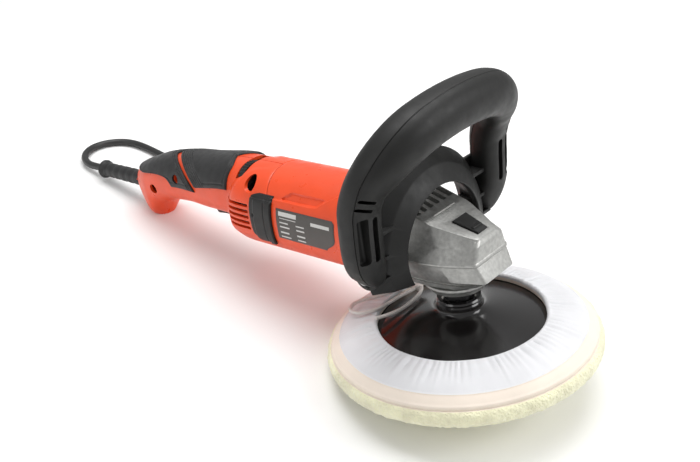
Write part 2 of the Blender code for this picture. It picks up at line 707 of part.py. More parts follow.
def add_loop_handle():
    points = [Vector((x, -y, z)) for y, z, x, _ in LOOP] + [Vector((0.0104, 0.0, 0.1915))]
    points += [Vector((x, y, z)) for y, z, x, _ in reversed(LOOP)]
    grip = 0.0165
    half_sizes = [radius / grip for *_, radius in LOOP]
    sizes = half_sizes + [1.0] + list(reversed(half_sizes))
    handle = as_mesh(tube("loop_handle", points, grip, BLACK, TOOL, 2, sizes))
    ring = turned("ring_blank", [
        (0.0530, -0.0075), (0.0630, -0.0240), (0.0602, -0.0245), (0.0510, -0.0110), (0.0462, -0.0110),
        (0.0535, -0.0320), (0.0510, -0.0330), (0.0434, -0.0110), (0.0400, -0.0110), (0.0400, -0.0075),
    ], location=(0, 0, RING_Z), rotation=(0, math.pi / 2, 0), steps=32, ring=True)
    combine(ring, box("ring_cut", (-0.05, -0.09, 0.0), (0.02, 0.09, 0.0745)))
    combine(handle, ring, "UNION")
    for side in (1, -1):
        near, far = sorted((side * 0.0450, side * 0.0640))
        for number, z in enumerate((0.0850, 0.1020, 0.1200)):
            low = (-0.0262, near, z - 0.0013)
            high = (-0.0125, far, z + 0.0013)
            combine(handle, box(f"gusset_{side}_{number}", low, high), "UNION")
        start = (BOLT.x, 0.0438 if side > 0 else -0.0600, BOLT.z)
        combine(handle, rod(f"lug_{side}", 0.0105, start, 0.0162, "Y"), "UNION")
    for side in (1, -1):
        start = (BOLT.x, 0.0300 if side > 0 else -0.0900, BOLT.z)
        combine(handle, rod(f"loop_bolt_way_{side}", 0.0043, start, 0.060, "Y"))
        start = (BOLT.x, 0.0640 if side > 0 else -0.0900, BOLT.z)
        combine(handle, rod(f"loop_bolt_sink_{side}", 0.0075, start, 0.026, "Y"))
        word = "left" if side > 0 else "right"
        turned(f"loop_bolt_{word}", [
            (0.0, 0.0060), (0.0070, 0.0060), (0.0070, 0.0003), (0.0040, 0.0003), (0.0040, -0.0400), (0.0, -0.0400),
        ], STEEL, TOOL, (BOLT.x, side * 0.0640, BOLT.z), (-side * math.pi / 2, 0, 0), steps=16)


# ---------------------------------------------------------------- pad, bonnet and string

def cone_height(radius):
    """Upper side of the backing pad's cone."""
    share = (radius - 0.0168) / (PAD_RADIUS - 0.0168)
    return 0.0400 - 0.0172 * share ** 0.8


def add_pad():
    radii = [0.0168, 0.0200, 0.0280, 0.0400, 0.0540, 0.0700, PAD_RADIUS]
    upper = [(0.0130, 0.0497), (0.0168, 0.0480)] + [(r, cone_height(r)) for r in radii]
    lower = [(PAD_RADIUS, 0.0190), (0.0260, 0.0190), (0.0130, 0.0190)]
    turned("backing_pad", upper + lower, GLOSS_BLACK, SPINDLE_AXIS, steps=36, ring=True)
    collar("pad_insert", 0.0073, 0.0127, 0.0210, 0.0480, STEEL, SPINDLE_AXIS, 24)
    turned("foam_disc", [(0.0, 0.0187), (PAD_RADIUS, 0.0187), (PAD_RADIUS, 0.0103), (0.0, 0.0103)],
           FOAM, SPINDLE_AXIS, steps=36)


def add_bonnet():
    """A thick soft disc that wraps round the pad and leaves a round mouth on top."""
    rim = BONNET_RADIUS
    outer = [
        (OPENING_RADIUS, 0.0330), (0.0700, 0.0320), (0.0830, 0.0290), (0.0930, 0.0235), (0.0985, 0.0180),
        (rim, 0.0135), (0.0990, 0.0095), (0.0955, 0.0068), (0.0890, FACE_Z), (0.0, FACE_Z),
    ]
    inner = [(0.0, 0.0100), (PAD_RADIUS + GAP, 0.0100), (PAD_RADIUS + GAP, 0.0235)]
    inner += [(r, cone_height(r) + 0.0006) for r in (0.0800, 0.0700, OPENING_RADIUS)]
    bonnet = turned("bonnet", outer + inner, CLOTH, SPINDLE_AXIS, steps=36, ring=True)
    combine(bonnet, bpy.data.objects["ground_cutter"])


def smooth_route(points, count):
    """Points along a smooth curve through a hand-laid route, evenly spaced."""
    dense = []
    padded = [2 * points[0] - points[1]] + points + [2 * points[-1] - points[-2]]
    for p0, p1, p2, p3 in zip(padded, padded[1:], padded[2:], padded[3:]):
        for step in range(16):
            t = step / 16
            dense.append(0.5 * (
                2 * p1 + (p2 - p0) * t + (2 * p0 - 5 * p1 + 4 * p2 - p3) * t ** 2
                + (3 * p1 - p0 - 3 * p2 + p3) * t ** 3
            ))
    dense.append(points[-1])
    reach = [0.0]
    for a, b in zip(dense, dense[1:]):
        reach.append(reach[-1] + (b - a).length)
    result = []
    index = 0
    for i in range(count):
        goal = reach[-1] * i / (count - 1)
        while index < len(reach) - 2 and reach[index + 1] < goal:
            index += 1
        span = max(reach[index + 1] - reach[index], 1e-9)
        result.append(dense[index].lerp(dense[index + 1], (goal - reach[index]) / span))
    return result


def add_relief():
    """A tapered sleeve with a collar held inside the shells and a flange at its tip."""
    turned("strain_relief", [
        (0.0, -0.3535), (0.0080, -0.3535), (0.0080, -0.3565), (0.0066, -0.3565), (0.0066, -0.3643),
        (0.0073, -0.3643), (0.0068, RELIEF_END + 0.0040), (0.0084, RELIEF_END + 0.0022), (0.0084, RELIEF_END),
        (0.0, RELIEF_END),
    ], SOFT_BLACK, TOOL, (0, 0, RELIEF_Z), (0, math.pi / 2, 0), steps=20)


def add_mains_cord():
    """The lead leaves the relief, turns back behind the tool and runs along the ground to its coil."""
    start = world(RELIEF_END - GAP, 0.0, RELIEF_Z)
    along = (world(-1.0, 0.0, RELIEF_Z) - world(0.0, 0.0, RELIEF_Z)).normalized()
    level = CORD_RADIUS + 0.0004
    lane = COIL_CENTRE.y - COIL_OUTER - CORD_RADIUS - GAP
    route = [
        start, start + along * 0.010, start + along * 0.020, start + along * 0.030,
        Vector((-0.3070, 0.0080, level + 0.0012)), Vector((-0.3190, 0.0240, level + 0.0004)),
        Vector((-0.3150, 0.0440, level)), Vector((-0.2990, 0.0580, level)),
        Vector((-0.2740, 0.0630, level)), Vector((-0.2400, 0.0625, level)),
        Vector((-0.1900, 0.0600, level)), Vector((-0.1400, 0.0590, level)),
        Vector((-0.1000, 0.0640, level)), Vector((-0.0620, 0.0760, level)),
        Vector((-0.0400, 0.0840, level)), Vector((COIL_CENTRE.x, lane, level)),
    ]
    tube("mains_cord", smooth_route(route, 42), CORD_RADIUS, BLACK)
    x, y, _ = COIL_CENTRE
    turned("cord_coil", [
        (COIL_OUTER, COIL_TOP), (COIL_OUTER, COIL_BOTTOM), (COIL_INNER, COIL_BOTTOM), (COIL_INNER, COIL_TOP),
    ], BLACK, None, (x, y, 0.0), steps=36, ring=True)
    slack = 0.0006
    strap = 0.0009
    reach = slack + strap
    tie = box("cord_tie", (x + COIL_INNER - reach, y - 0.0035, COIL_BOTTOM - reach),
              (x + COIL_OUTER + reach, y + 0.0035, COIL_TOP + reach), SOFT_BLACK, None)
    combine(tie, box("tie_room", (x + COIL_INNER - slack, y - 0.02, COIL_BOTTOM - slack),
                     (x + COIL_OUTER + slack, y + 0.02, COIL_TOP + slack), parent=None))
    left = x - COIL_OUTER - CORD_RADIUS - GAP
    tail = [
        Vector((left, y, level)), Vector((left, y - 0.012, level)), Vector((left - 0.005, y - 0.024, level + 0.001)),
        Vector((left - 0.016, y - 0.036, level + 0.004)), Vector((left - 0.029, PLUG_Y, PLUG_Z)),
        Vector((PLUG_REAR + GAP, PLUG_Y, PLUG_Z)),
    ]
    tube("cord_tail", smooth_route(tail, 16), CORD_RADIUS, BLACK)


def add_plug():
    """A moulded two-pin plug lying on the ground beside the coil."""
    rings = []
    sections = [(0.0, 0.0050, 0.0050), (-0.0090, 0.0060, 0.0056), (-0.0130, 0.0115, 0.0072),
                (-0.0280, 0.0160, 0.0086), (-0.0350, 0.0172, 0.0090)]
    sides = 16
    for back, half_width, half_height in sections:
        turn = [2 * math.pi * (i + 0.5) / sides for i in range(sides)]
        rings.append([
            (PLUG_REAR + back, PLUG_Y + half_width * math.sin(t), PLUG_Z + half_height * math.cos(t)) for t in turn
        ])
    loft("plug", rings, BLACK, None)
    front = PLUG_REAR + sections[-1][0] - GAP
    for word, y in (("left", PLUG_Y + 0.0095), ("right", PLUG_Y - 0.0095)):
        rod(f"plug_pin_{word}", 0.0024, (front - 0.0190, y, PLUG_Z), 0.0190, "X", STEEL, None, 12)


def add_drawstring():
    """The string comes out of the bonnet's hem, is tied, and its loop and tail lie on pad and bonnet."""
    knot = Vector((-0.0480, 0.0120, 0.0370))
    bm = bmesh.new()
    bmesh.ops.create_uvsphere(bm, u_segments=12, v_segments=8, radius=0.0032)
    bmesh.ops.scale(bm, vec=(1.3, 0.95, 0.85), verts=bm.verts)
    place("bow_knot", mesh_of("bow_knot", bm, 60), CLOTH, SPINDLE_AXIS, knot)
    loop = [
        knot + Vector((-0.0046, -0.0006, 0.0)), Vector((-0.0590, 0.0040, 0.0368)), Vector((-0.0680, -0.0080, 0.0350)),
        Vector((-0.0760, -0.0200, 0.0330)), Vector((-0.0785, -0.0290, 0.0315)), Vector((-0.0740, -0.0365, 0.0318)),
        Vector((-0.0650, -0.0370, 0.0335)), Vector((-0.0575, -0.0300, 0.0350)), Vector((-0.0535, -0.0180, 0.0362)),
        Vector((-0.0515, -0.0060, 0.0368)), Vector((-0.0492, 0.0040, 0.0370)), knot + Vector((-0.0004, -0.0035, 0.0)),
    ]
    tube("drawstring_loop", smooth_route(loop, 34), STRING_RADIUS, CLOTH, SPINDLE_AXIS)
    tail = [
        knot + Vector((0.0046, -0.0012, 0.0)), Vector((-0.0405, 0.0040, 0.0368)), Vector((-0.0392, -0.0080, 0.0362)),
        Vector((-0.0400, -0.0190, 0.0358)), Vector((-0.0425, -0.0290, 0.0362)), Vector((-0.0470, -0.0390, 0.0368)),
    ]
    tube("drawstring_tail", smooth_route(tail, 18), STRING_RADIUS, CLOTH, SPINDLE_AXIS)


def main():
    add_gear_case()
    add_case_screws()
    add_spindle_lock()
    add_bearing_cover()
    add_spindle()
    add_gears()
    add_motor()
    add_motor_housing()
    add_rear_shells()
    add_shell_screws()
    add_grip_pads()
    add_side_pieces()
    add_controls()
    add_loop_handle()
    add_pad()
    add_bonnet()
    add_drawstring()
    add_relief()
    add_mains_cord()
    add_plug()


main()
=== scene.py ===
"""Looks of the rotary polisher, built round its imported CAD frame.

Shapes are made in the tool's own frame, as the CAD is: the spindle is the Z axis and the motor lies along -X.
TOOL then tips them back onto the ground.
"""
import math

import bmesh
import bpy
from mathutils import Matrix, Vector, noise


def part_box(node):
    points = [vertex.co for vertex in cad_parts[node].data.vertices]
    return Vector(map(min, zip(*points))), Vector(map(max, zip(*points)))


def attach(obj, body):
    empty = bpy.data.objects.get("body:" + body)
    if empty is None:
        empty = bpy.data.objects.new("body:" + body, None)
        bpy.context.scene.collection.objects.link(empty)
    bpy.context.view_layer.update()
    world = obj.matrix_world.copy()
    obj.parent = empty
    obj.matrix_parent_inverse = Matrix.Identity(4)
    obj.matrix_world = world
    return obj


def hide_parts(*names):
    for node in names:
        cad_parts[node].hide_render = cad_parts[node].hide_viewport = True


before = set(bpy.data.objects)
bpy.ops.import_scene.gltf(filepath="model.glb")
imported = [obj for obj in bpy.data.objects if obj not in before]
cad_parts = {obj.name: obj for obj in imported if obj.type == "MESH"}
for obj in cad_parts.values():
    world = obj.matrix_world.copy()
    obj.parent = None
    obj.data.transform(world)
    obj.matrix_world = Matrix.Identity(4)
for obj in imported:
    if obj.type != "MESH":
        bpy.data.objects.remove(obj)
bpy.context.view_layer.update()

# The CAD's own driving dimensions, in metres.
PITCH = math.radians(10.83)
REST_RADIUS = 0.088
ORIGIN_SHIFT = 0.16735
FACE_Z = 0.0050
MOTOR_Z = 0.089
PAD_RADIUS = 0.087
WALL = 0.0027
SQUARENESS = 2.4
BELLY = 0.09                     # how much flatter the housing is below than above
BARREL_FRONT = -0.0625
SEAM_X = -0.153
SEAM_GAP = 0.0002
SHELL_SCREWS = [(-0.174, 0.116), (-0.276, 0.102), (-0.316, 0.085), (-0.196, 0.064)]     # x, height
RING_Z = 0.092
BOLT_X = -0.026
BOLT_Z = 0.089
DIAL = (-0.1915, -0.0066, 0.109)
TRIGGER = (-0.226, 0.0, 0.0785)
RELIEF_Z = 0.080
RELIEF_END = -0.4215
CORD_RADIUS = 0.0035
STRING_RADIUS = 0.0014
COIL = Vector((-0.020, 0.140, 0.0))
COIL_OUTER = 0.049
PLUG = Vector((-0.1080, 0.1000, 0.0095))     # the middle of the plug's rear end
GAP = 0.0003                     # left between the lead and what it leaves or passes

TIP = Matrix.Rotation(-PITCH, 4, "Y")
LIFT = REST_RADIUS * math.sin(PITCH) - FACE_Z * math.cos(PITCH)
TOOL = Matrix.Translation((ORIGIN_SHIFT, 0.0, LIFT)) @ TIP
ALONG_X = Matrix.Rotation(math.pi / 2, 4, "Y")
SIDES = ((1, "left"), (-1, "right"))

# The camera's angle round the object, its height angle and its roll in degrees, its place and its lens in mm.
VIEW_ANGLES = (40.6, 32.38, 0.28)
VIEW_PLACE = (0.45222, -0.46269, 0.45705)
LENS = 48.45


# ---------------------------------------------------------------- camera, light and floor

def link(name, data):
    """A new object of some data, in the scene."""
    made = bpy.data.objects.new(name, data)
    bpy.context.scene.collection.objects.link(made)
    return made


def add_camera():
    azimuth, elevation, roll = (math.radians(angle) for angle in VIEW_ANGLES)
    back = Vector((math.sin(azimuth) * math.cos(elevation), -math.cos(azimuth) * math.cos(elevation),
                   math.sin(elevation)))
    level = Vector((math.cos(azimuth), math.sin(azimuth), 0.0))
    above = back.cross(level)
    right = level * math.cos(roll) + above * math.sin(roll)
    up = above * math.cos(roll) - level * math.sin(roll)
    lens = bpy.data.cameras.new("camera")
    lens.lens = LENS
    lens.sensor_width = 36.0
    camera = link("camera", lens)
    turn = Matrix((right, up, back)).transposed().to_4x4()
    camera.matrix_world = Matrix.Translation(VIEW_PLACE) @ turn
    bpy.context.scene.camera = camera


def add_softbox(name, place, target, size, watts):
    lamp = bpy.data.lights.new(name, "AREA")
    lamp.shape = "RECTANGLE"
    lamp.size, lamp.size_y = size
    lamp.energy = watts
    made = link(name, lamp)
    made.location = place
    made.rotation_euler = (Vector(target) - Vector(place)).to_track_quat("-Z", "Y").to_euler()


def add_studio():
    scene = bpy.context.scene
    scene.view_settings.view_transform = "Standard"
    world = bpy.data.worlds.new("studio")
    scene.world = world
    world.use_nodes = True
    sky = world.node_tree.nodes["Background"]
    sky.inputs["Color"].default_value = (1.0, 1.0, 1.0, 1.0)
    sky.inputs["Strength"].default_value = 0.50
    add_softbox("top_light", (-0.15, 0.25, 1.25), (0.0, 0.0, 0.05), (1.2, 0.9), 14.5)
    add_softbox("key_light", (1.00, 0.55, 0.75), (0.1, 0.0, 0.08), (0.6, 0.6), 6.0)
    add_softbox("front_light", (-0.35, -1.15, 0.75), (0.0, 0.0, 0.06), (0.7, 0.5), 2.6)
    bm = bmesh.new()
    bmesh.ops.create_grid(bm, x_segments=1, y_segments=1, size=6.0)
    mesh = bpy.data.meshes.new("floor")
    bm.to_mesh(mesh)
    bm.free()
    floor = link("floor", mesh)
    pale = bpy.data.materials.new("pale_floor")
    pale.use_nodes = True
    shader = pale.node_tree.nodes["Principled BSDF"]
    shader.inputs["Base Color"].default_value = (0.93, 0.93, 0.925, 1.0)
    shader.inputs["Roughness"].default_value = 0.85
    mesh.materials.append(pale)


# ---------------------------------------------------------------- materials

class Finish:
    """A Principled material whose colour, roughness and relief come from noise in the object's own space."""

    def __init__(self, name, colour, roughness, metallic=0.0):
        self.material = bpy.data.materials.new(name)
        self.material.use_nodes = True
        self.tree = self.material.node_tree
        self.shader = self.tree.nodes["Principled BSDF"]
        self.set(Base_Color=(*colour, 1.0), Roughness=roughness, Metallic=metallic)
        self.colour = colour
        self.roughness = roughness
        self.space = self.node("ShaderNodeTexCoord", "Object", {})
        self.normal = None

    def node(self, kind, output, values, settings=None, **sources):
        """A new node with its settings, input values and links in place. Returns one of its outputs."""
        made = self.tree.nodes.new(kind)
        for key, value in (settings or {}).items():
            setattr(made, key, value)
        for key, value in values.items():
            made.inputs[key].default_value = value
        for key, source in sources.items():
            self.tree.links.new(source, made.inputs[key])
        return made.outputs[output]

    def noise(self, scale, detail=3.0, stretch=None):
        space = self.space
        if stretch:
            space = self.node("ShaderNodeMapping", "Vector", {"Scale": stretch}, Vector=space)
        return self.node("ShaderNodeTexNoise", "Fac", {"Scale": scale, "Detail": detail}, Vector=space)

    def cells(self, scale):
        return self.node("ShaderNodeTexVoronoi", "Distance", {"Scale": scale}, Vector=self.space)

    def bands(self, scale, direction, distortion=0.0):
        values = {"Scale": scale, "Distortion": distortion}
        return self.node("ShaderNodeTexWave", "Fac", values, {"bands_direction": direction}, Vector=self.space)

    def spread(self, factor, low, high):
        """A value between low and high that follows a factor."""
        values = {"To Min": low, "To Max": high, "From Min": 0.3, "From Max": 0.7}
        return self.node("ShaderNodeMapRange", "Result", values, Value=factor)

    def mottle(self, factor, dark, light):
        """Colour variation between two shades of the base colour."""
        shades = [(*[min(1.0, c * share) for c in self.colour], 1.0) for share in (dark, light)]
        values = {"A": shades[0], "B": shades[1]}
        share = self.spread(factor, 0.0, 1.0)
        mix = self.node("ShaderNodeMix", "Result", values, {"data_type": "RGBA"}, Factor=share)
        self.tree.links.new(mix, self.shader.inputs["Base Color"])
        return self

    def uneven(self, factor, amount):
        """Roughness that varies round its mean by some amount."""
        low, high = max(0.02, self.roughness - amount), min(1.0, self.roughness + amount)
        self.tree.links.new(self.spread(factor, low, high), self.shader.inputs["Roughness"])
        return self

    def relief(self, factor, strength, distance):
        """One more layer of bump on top of the layers before it."""
        below = {"Normal": self.normal} if self.normal else {}
        values = {"Strength": strength, "Distance": distance}
        self.normal = self.node("ShaderNodeBump", "Normal", values, Height=factor, **below)
        self.tree.links.new(self.normal, self.shader.inputs["Normal"])
        return self

    def set(self, **sockets):
        for key, value in sockets.items():
            self.shader.inputs[key.replace("_", " ")].default_value = value
        return self


def moulded(name, colour, roughness, grain=1600.0, depth=0.00006, sheen=0.5):
    """Injection-moulded plastic with a fine eroded grain and faint handling marks."""
    made = Finish(name, colour, roughness).set(Specular_IOR_Level=sheen)
    made.mottle(made.noise(45.0), 0.93, 1.06).uneven(made.noise(130.0), 0.07)
    return made.relief(made.noise(grain, 2.0), 0.35, depth)


def bare_metal(name, colour, roughness, stretch=(1, 1, 1)):
    made = Finish(name, colour, roughness, 1.0)
    made.mottle(made.noise(80.0), 0.88, 1.08)
    made.uneven(made.noise(900.0, 2.0, stretch), 0.10)
    return made.relief(made.noise(1400.0, 2.0, stretch), 0.15, 0.00004)


# Plastics, printing and carbon: name, colour, roughness, then the grain's scale and depth and the gloss.
MOULDED = {
    "orange": ("orange_plastic", (0.80, 0.072, 0.014), 0.34),
    "black": ("black_plastic", (0.0085, 0.0085, 0.0080), 0.50, 1300.0, 0.00009, 0.34),
    "dark": ("dark_plastic", (0.012, 0.012, 0.0115), 0.44, 1700.0, 0.00006, 0.40),
    "carbon": ("carbon", (0.035, 0.035, 0.038), 0.6),
    "plate": ("label_stock", (0.070, 0.062, 0.056), 0.40, 2400.0, 0.00003),
    "print": ("grey_print", (0.62, 0.61, 0.59), 0.50, 2400.0, 0.00003),
}
# Metals: name, colour, roughness, and how far their grain is stretched.
METALS = {
    "steel": ("machined_steel", (0.52, 0.52, 0.53), 0.27, (1, 1, 6)),
    "dark_steel": ("blackened_steel", (0.060, 0.060, 0.062), 0.34),
    "plated": ("nickel_plate", (0.70, 0.69, 0.66), 0.18),
    "brass": ("brass", (0.72, 0.52, 0.22), 0.30),
}


def make_finishes():
    made = {key: moulded(*row) for key, row in MOULDED.items()}
    made.update((key, bare_metal(*row)) for key, row in METALS.items())
    grip = Finish("soft_grip", (0.018, 0.018, 0.0185), 0.50).set(Specular_IOR_Level=0.42)
    grip.mottle(grip.noise(60.0), 0.85, 1.12).uneven(grip.noise(160.0), 0.08)
    made["grip"] = grip.relief(grip.cells(900.0), 0.30, 0.00012)
    gloss = Finish("gloss_plastic", (0.006, 0.005, 0.005), 0.20)
    gloss.uneven(gloss.noise(30.0), 0.05).relief(gloss.noise(55.0, 1.0), 0.10, 0.0008)
    made["gloss"] = gloss.set(Coat_Weight=0.35, Coat_Roughness=0.10)
    cast = Finish("cast_alloy", (0.40, 0.40, 0.385), 0.44, 0.80)
    cast.mottle(cast.noise(420.0, 4.0), 0.86, 1.12).uneven(cast.noise(300.0), 0.10)
    cast.relief(cast.noise(1100.0, 3.0), 0.55, 0.00014)
    made["cast"] = cast.relief(cast.noise(160.0, 2.0), 0.20, 0.0003)
    copper = bare_metal("copper_wire", (0.72, 0.30, 0.12), 0.32)
    made["copper"] = copper.relief(copper.bands(700.0, "X"), 0.6, 0.0003)
    foam = Finish("foam", (0.045, 0.045, 0.05), 0.9)
    made["foam"] = foam.mottle(foam.noise(300.0), 0.7, 1.3).relief(foam.cells(700.0), 0.8, 0.0008)
    sheath = moulded("cord_sheath", (0.018, 0.018, 0.018), 0.45, 900.0, 0.0001)
    made["sheath"] = sheath.relief(sheath.noise(120.0), 0.2, 0.0004)
    for key, colour in (("cloth", (0.74, 0.74, 0.76)), ("band", (0.86, 0.76, 0.66))):
        cloth = Finish("bonnet_" + key, colour, 0.86)
        cloth.mottle(cloth.noise(35.0), 0.95, 1.03)
        for direction in ("X", "Y"):
            cloth.relief(cloth.bands(520.0, direction, 0.4), 0.25, 0.00016)
        cloth.relief(cloth.noise(90.0, 3.0), 0.25, 0.0012)
        made[key] = cloth.set(Sheen_Weight=0.25, Sheen_Roughness=0.5)
    fleece = Finish("bonnet_fleece", (0.90, 0.86, 0.60), 0.95)
    fleece.mottle(fleece.noise(70.0, 4.0), 0.86, 1.14)
    fleece.relief(fleece.cells(620.0), 0.9, 0.0009).relief(fleece.noise(1500.0, 3.0), 0.8, 0.0006)
    made["fleece"] = fleece.set(Sheen_Weight=0.5, Sheen_Roughness=0.6)
    tape = Finish("woven_string", (0.82, 0.76, 0.72), 0.85)
    tape.mottle(tape.noise(220.0), 0.90, 1.06).relief(tape.bands(800.0, "DIAGONAL"), 0.7, 0.0003)
    made["string"] = tape.set(Sheen_Weight=0.3)
    return {key: value.material for key, value in made.items()}


# ---------------------------------------------------------------- mesh helpers

def smoothstep(value):
    value = min(1.0, max(0.0, value))
    return value * value * (3 - 2 * value)


def metres(table):
    """A table in millimetres, nested as it may be, in metres."""
    return [metres(value) if isinstance(value, (list, tuple)) else value / 1000 for value in table]


def squared(angle, power):
    """Sine and cosine of an angle on a circle whose sides are flattened."""
    return [math.copysign(abs(value) ** power, value) for value in (math.sin(angle), math.cos(angle))]


def polar(radius, angle, height):
    return Vector((radius * math.cos(angle), radius * math.sin(angle), height))


def curve(table, key):
    """The values of a table at a key, by a smooth interpolation that keeps to the table's rows."""
    rows = table if table[0][0] < table[-1][0] else list(reversed(table))
    if key <= rows[0][0]:
        return list(rows[0][1:])
    if key >= rows[-1][0]:
        return list(rows[-1][1:])
    i = next(n for n in range(len(rows) - 1) if key <= rows[n + 1][0])
    span = rows[i + 1][0] - rows[i][0]
    t = (key - rows[i][0]) / span
    result = []
    for column in range(1, len(rows[0])):
        slopes = []
        for n in (i, i + 1):
            before, after = max(0, n - 1), min(len(rows) - 1, n + 1)
            slopes.append((rows[after][column] - rows[before][column]) / (rows[after][0] - rows[before][0]))
        a, b = rows[i][column], rows[i + 1][column]
        result.append(
            a * (1 + 2 * t) * (1 - t) ** 2 + b * t * t * (3 - 2 * t)
            + span * (slopes[0] * t * (1 - t) ** 2 + slopes[1] * t * t * (t - 1))
        )
    return result


def raw(name, bm, matrix=None):
    """A plain object of a bmesh, in the tool's frame."""
    bmesh.ops.remove_doubles(bm, verts=bm.verts, dist=0.000004)
    bmesh.ops.recalc_face_normals(bm, faces=bm.faces)
    mesh = bpy.data.meshes.new(name)
    bm.to_mesh(mesh)
    bm.free()
    if matrix:
        mesh.transform(matrix)
    return link(name, mesh)


def bake(made):
    """Applies the modifiers of an object."""
    bpy.context.view_layer.update()
    graph = bpy.context.evaluated_depsgraph_get()
    mesh = bpy.data.meshes.new_from_object(made.evaluated_get(graph))
    made.modifiers.clear()
    made.data = mesh
    return made


def grid(rows, wrap=False, caps=False, ring=False):
    """Faces through rows of points. wrap closes each row, ring joins the last to the first, caps fills ends."""
    bm = bmesh.new()
    verts = [[bm.verts.new(point) for point in row] for row in rows]
    count = len(verts[0])
    for first, second in zip(verts, verts[1:] + (verts[:1] if ring else [])):
        for i in range(count if wrap else count - 1):
            j = (i + 1) % count
            bm.faces.new((first[i], first[j], second[j], second[i]))
    if caps:
        bm.faces.new(verts[0])
        bm.faces.new(list(reversed(verts[-1])))
    return bm


def cleaned(bm):
    """Drops the doubled points and the faces without area that a shape has on its axis."""
    bmesh.ops.remove_doubles(bm, verts=bm.verts, dist=0.000004)
    bmesh.ops.dissolve_degenerate(bm, edges=bm.edges, dist=0.000002)
    return bm


def turned(name, outline, steps=96, matrix=None, ripple=None):
    """A closed turned solid. The outline is a loop of radius and height that may touch the axis."""
    rows = []
    for step in range(steps):
        angle = 2 * math.pi * step / steps
        row = []
        for radius, height in outline:
            reach = ripple(angle, radius, height) if ripple else radius
            row.append(polar(reach, angle, height))
        rows.append(row)
    closed = outline[0][0] > 0 or outline[-1][0] > 0
    return raw(name, cleaned(grid(rows, wrap=closed, ring=True)), matrix)


def soften(outline, reach=0.0006, close=True):
    """Cuts each corner of a turned outline into a small round."""
    result = []
    count = len(outline)
    for i, point in enumerate(outline):
        here = Vector(point)
        if (not close and i in (0, count - 1)) or here.x < 0.00001:
            result.append(tuple(here))
            continue
        sides = [Vector(outline[(i + step) % count]) - here for step in (-1, 1)]
        ends = [here + side.normalized() * min(reach, side.length * 0.4) for side in sides]
        for t in (0.0, 0.25, 0.5, 0.75, 1.0):
            result.append(tuple((1 - t) ** 2 * ends[0] + 2 * t * (1 - t) * here + t * t * ends[1]))
    return result


def block(name, low, high, edge=0.0, segments=3, matrix=None):
    bm = bmesh.new()
    bmesh.ops.create_cube(bm, size=1.0)
    bmesh.ops.scale(bm, vec=[b - a for a, b in zip(low, high)], verts=bm.verts)
    bmesh.ops.translate(bm, vec=[(a + b) / 2 for a, b in zip(low, high)], verts=bm.verts)
    if edge:
        bmesh.ops.bevel(bm, geom=bm.edges[:], offset=edge, segments=segments, profile=0.5, affect="EDGES")
    return raw(name, bm, matrix)


def rod(name, radius, start, end, steps=32):
    axis = Vector(end) - Vector(start)
    turn = axis.to_track_quat("Z", "Y").to_matrix().to_4x4()
    outline = [(0.0, 0.0), (radius, 0.0), (radius, axis.length), (0.0, axis.length)]
    return turned(name, outline, steps, Matrix.Translation(start) @ turn)


def join(name, parts):
    """One object of several, without a Boolean."""
    bm = bmesh.new()
    for part in parts:
        bm.from_mesh(part.data)
        bpy.data.objects.remove(part)
    mesh = bpy.data.meshes.new(name)
    bm.to_mesh(mesh)
    bm.free()
    return link(name, mesh)


def combine(target, parts, operation="DIFFERENCE"):
    """A Boolean of each part on the target, applied at once."""
    for part in parts:
        boolean = target.modifiers.new("cut", "BOOLEAN")
        boolean.operation = operation
        boolean.object = part
        boolean.solver = "EXACT"
        bake(target)
        bpy.data.objects.remove(part)
    return target


def slab(name, side, across, low, high, edge=0.0, segments=3):
    """A block on one side of the tool: its two distances from the middle, then x and z of two corners."""
    near, far = sorted(side * distance for distance in across)
    return block(name, (low[0], near, low[1]), (high[0], far, high[1]), edge, segments)


def piece(made, name, finish, stands_for=(), matrix=TOOL, smooth=32.0, body="tool_body"):
    """Names a finished object, tips it into the row's frame and lets it ride on its body."""
    made.name = name
    if matrix:
        made.data.transform(matrix)
    if finish:
        made.data.materials.clear()
        made.data.materials.append(FINISHES[finish])
    made.data.shade_smooth()
    made.data.set_sharp_from_angle(angle=math.radians(smooth))
    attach(made, body)
    if stands_for:
        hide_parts(*stands_for)
    return made


# ---------------------------------------------------------------- the body's skin

# Sections in millimetres: x, centre height, half width, upper half height, lower half height.
NECK = metres([
    (-140, 90, 30, 35, 33), (-175, 91.5, 28.5, 33.5, 26.5), (-190, 93.5, 27.6, 31.2, 25.4),
    (-202, 95.5, 26.8, 29, 24.6), (-212, 96.5, 26.4, 27.5, 24), (-220, 97, 26.2, 26.2, 23.6),
    (-236, 96.5, 25.2, 24.6, 23), (-250, 95.7, 24, 23.8, 22.4), (-275, 95, 22.2, 22.5, 21.2),
    (-300, 92, 21.5, 21.5, 20.5), (-314, 88.8, 21.2, 21.5, 21.2), (-320.5, 86.8, 20.9, 21.5, 23),
    (-325, 85.5, 20.6, 21.3, 28.5), (-328.5, 84.5, 20.3, 21, 34.5), (-332, 83.6, 19.8, 20.7, 38.8),
    (-338.5, 82, 18, 19.9, 40.8), (-346, 80.8, 15, 17.4, 40.3), (-352, 80.1, 11.2, 14, 39.3),
    (-356, 80, 8.6, 11, 38.3),
])
# Where the motor's pod ends and the neck begins: degrees from the top, x.
POD_END = [
    (0, -0.160), (14, -0.1665), (20, -0.178), (32, -0.1855), (48, -0.1915), (66, -0.196), (90, -0.201),
    (120, -0.205), (150, -0.208), (180, -0.209),
]
# The ledge along the motor's side: x, degrees from the top.
LEDGE = [(-0.170, 57.0), (-0.101, 57.0), (-0.093, 48.0), (-0.084, 36.5), (-0.076, 28.0), (-0.062, 20.0)]


def seam_x(degrees):
    return SEAM_X - 0.0078 * max(0.0, 1 - abs(degrees) / 54.0)


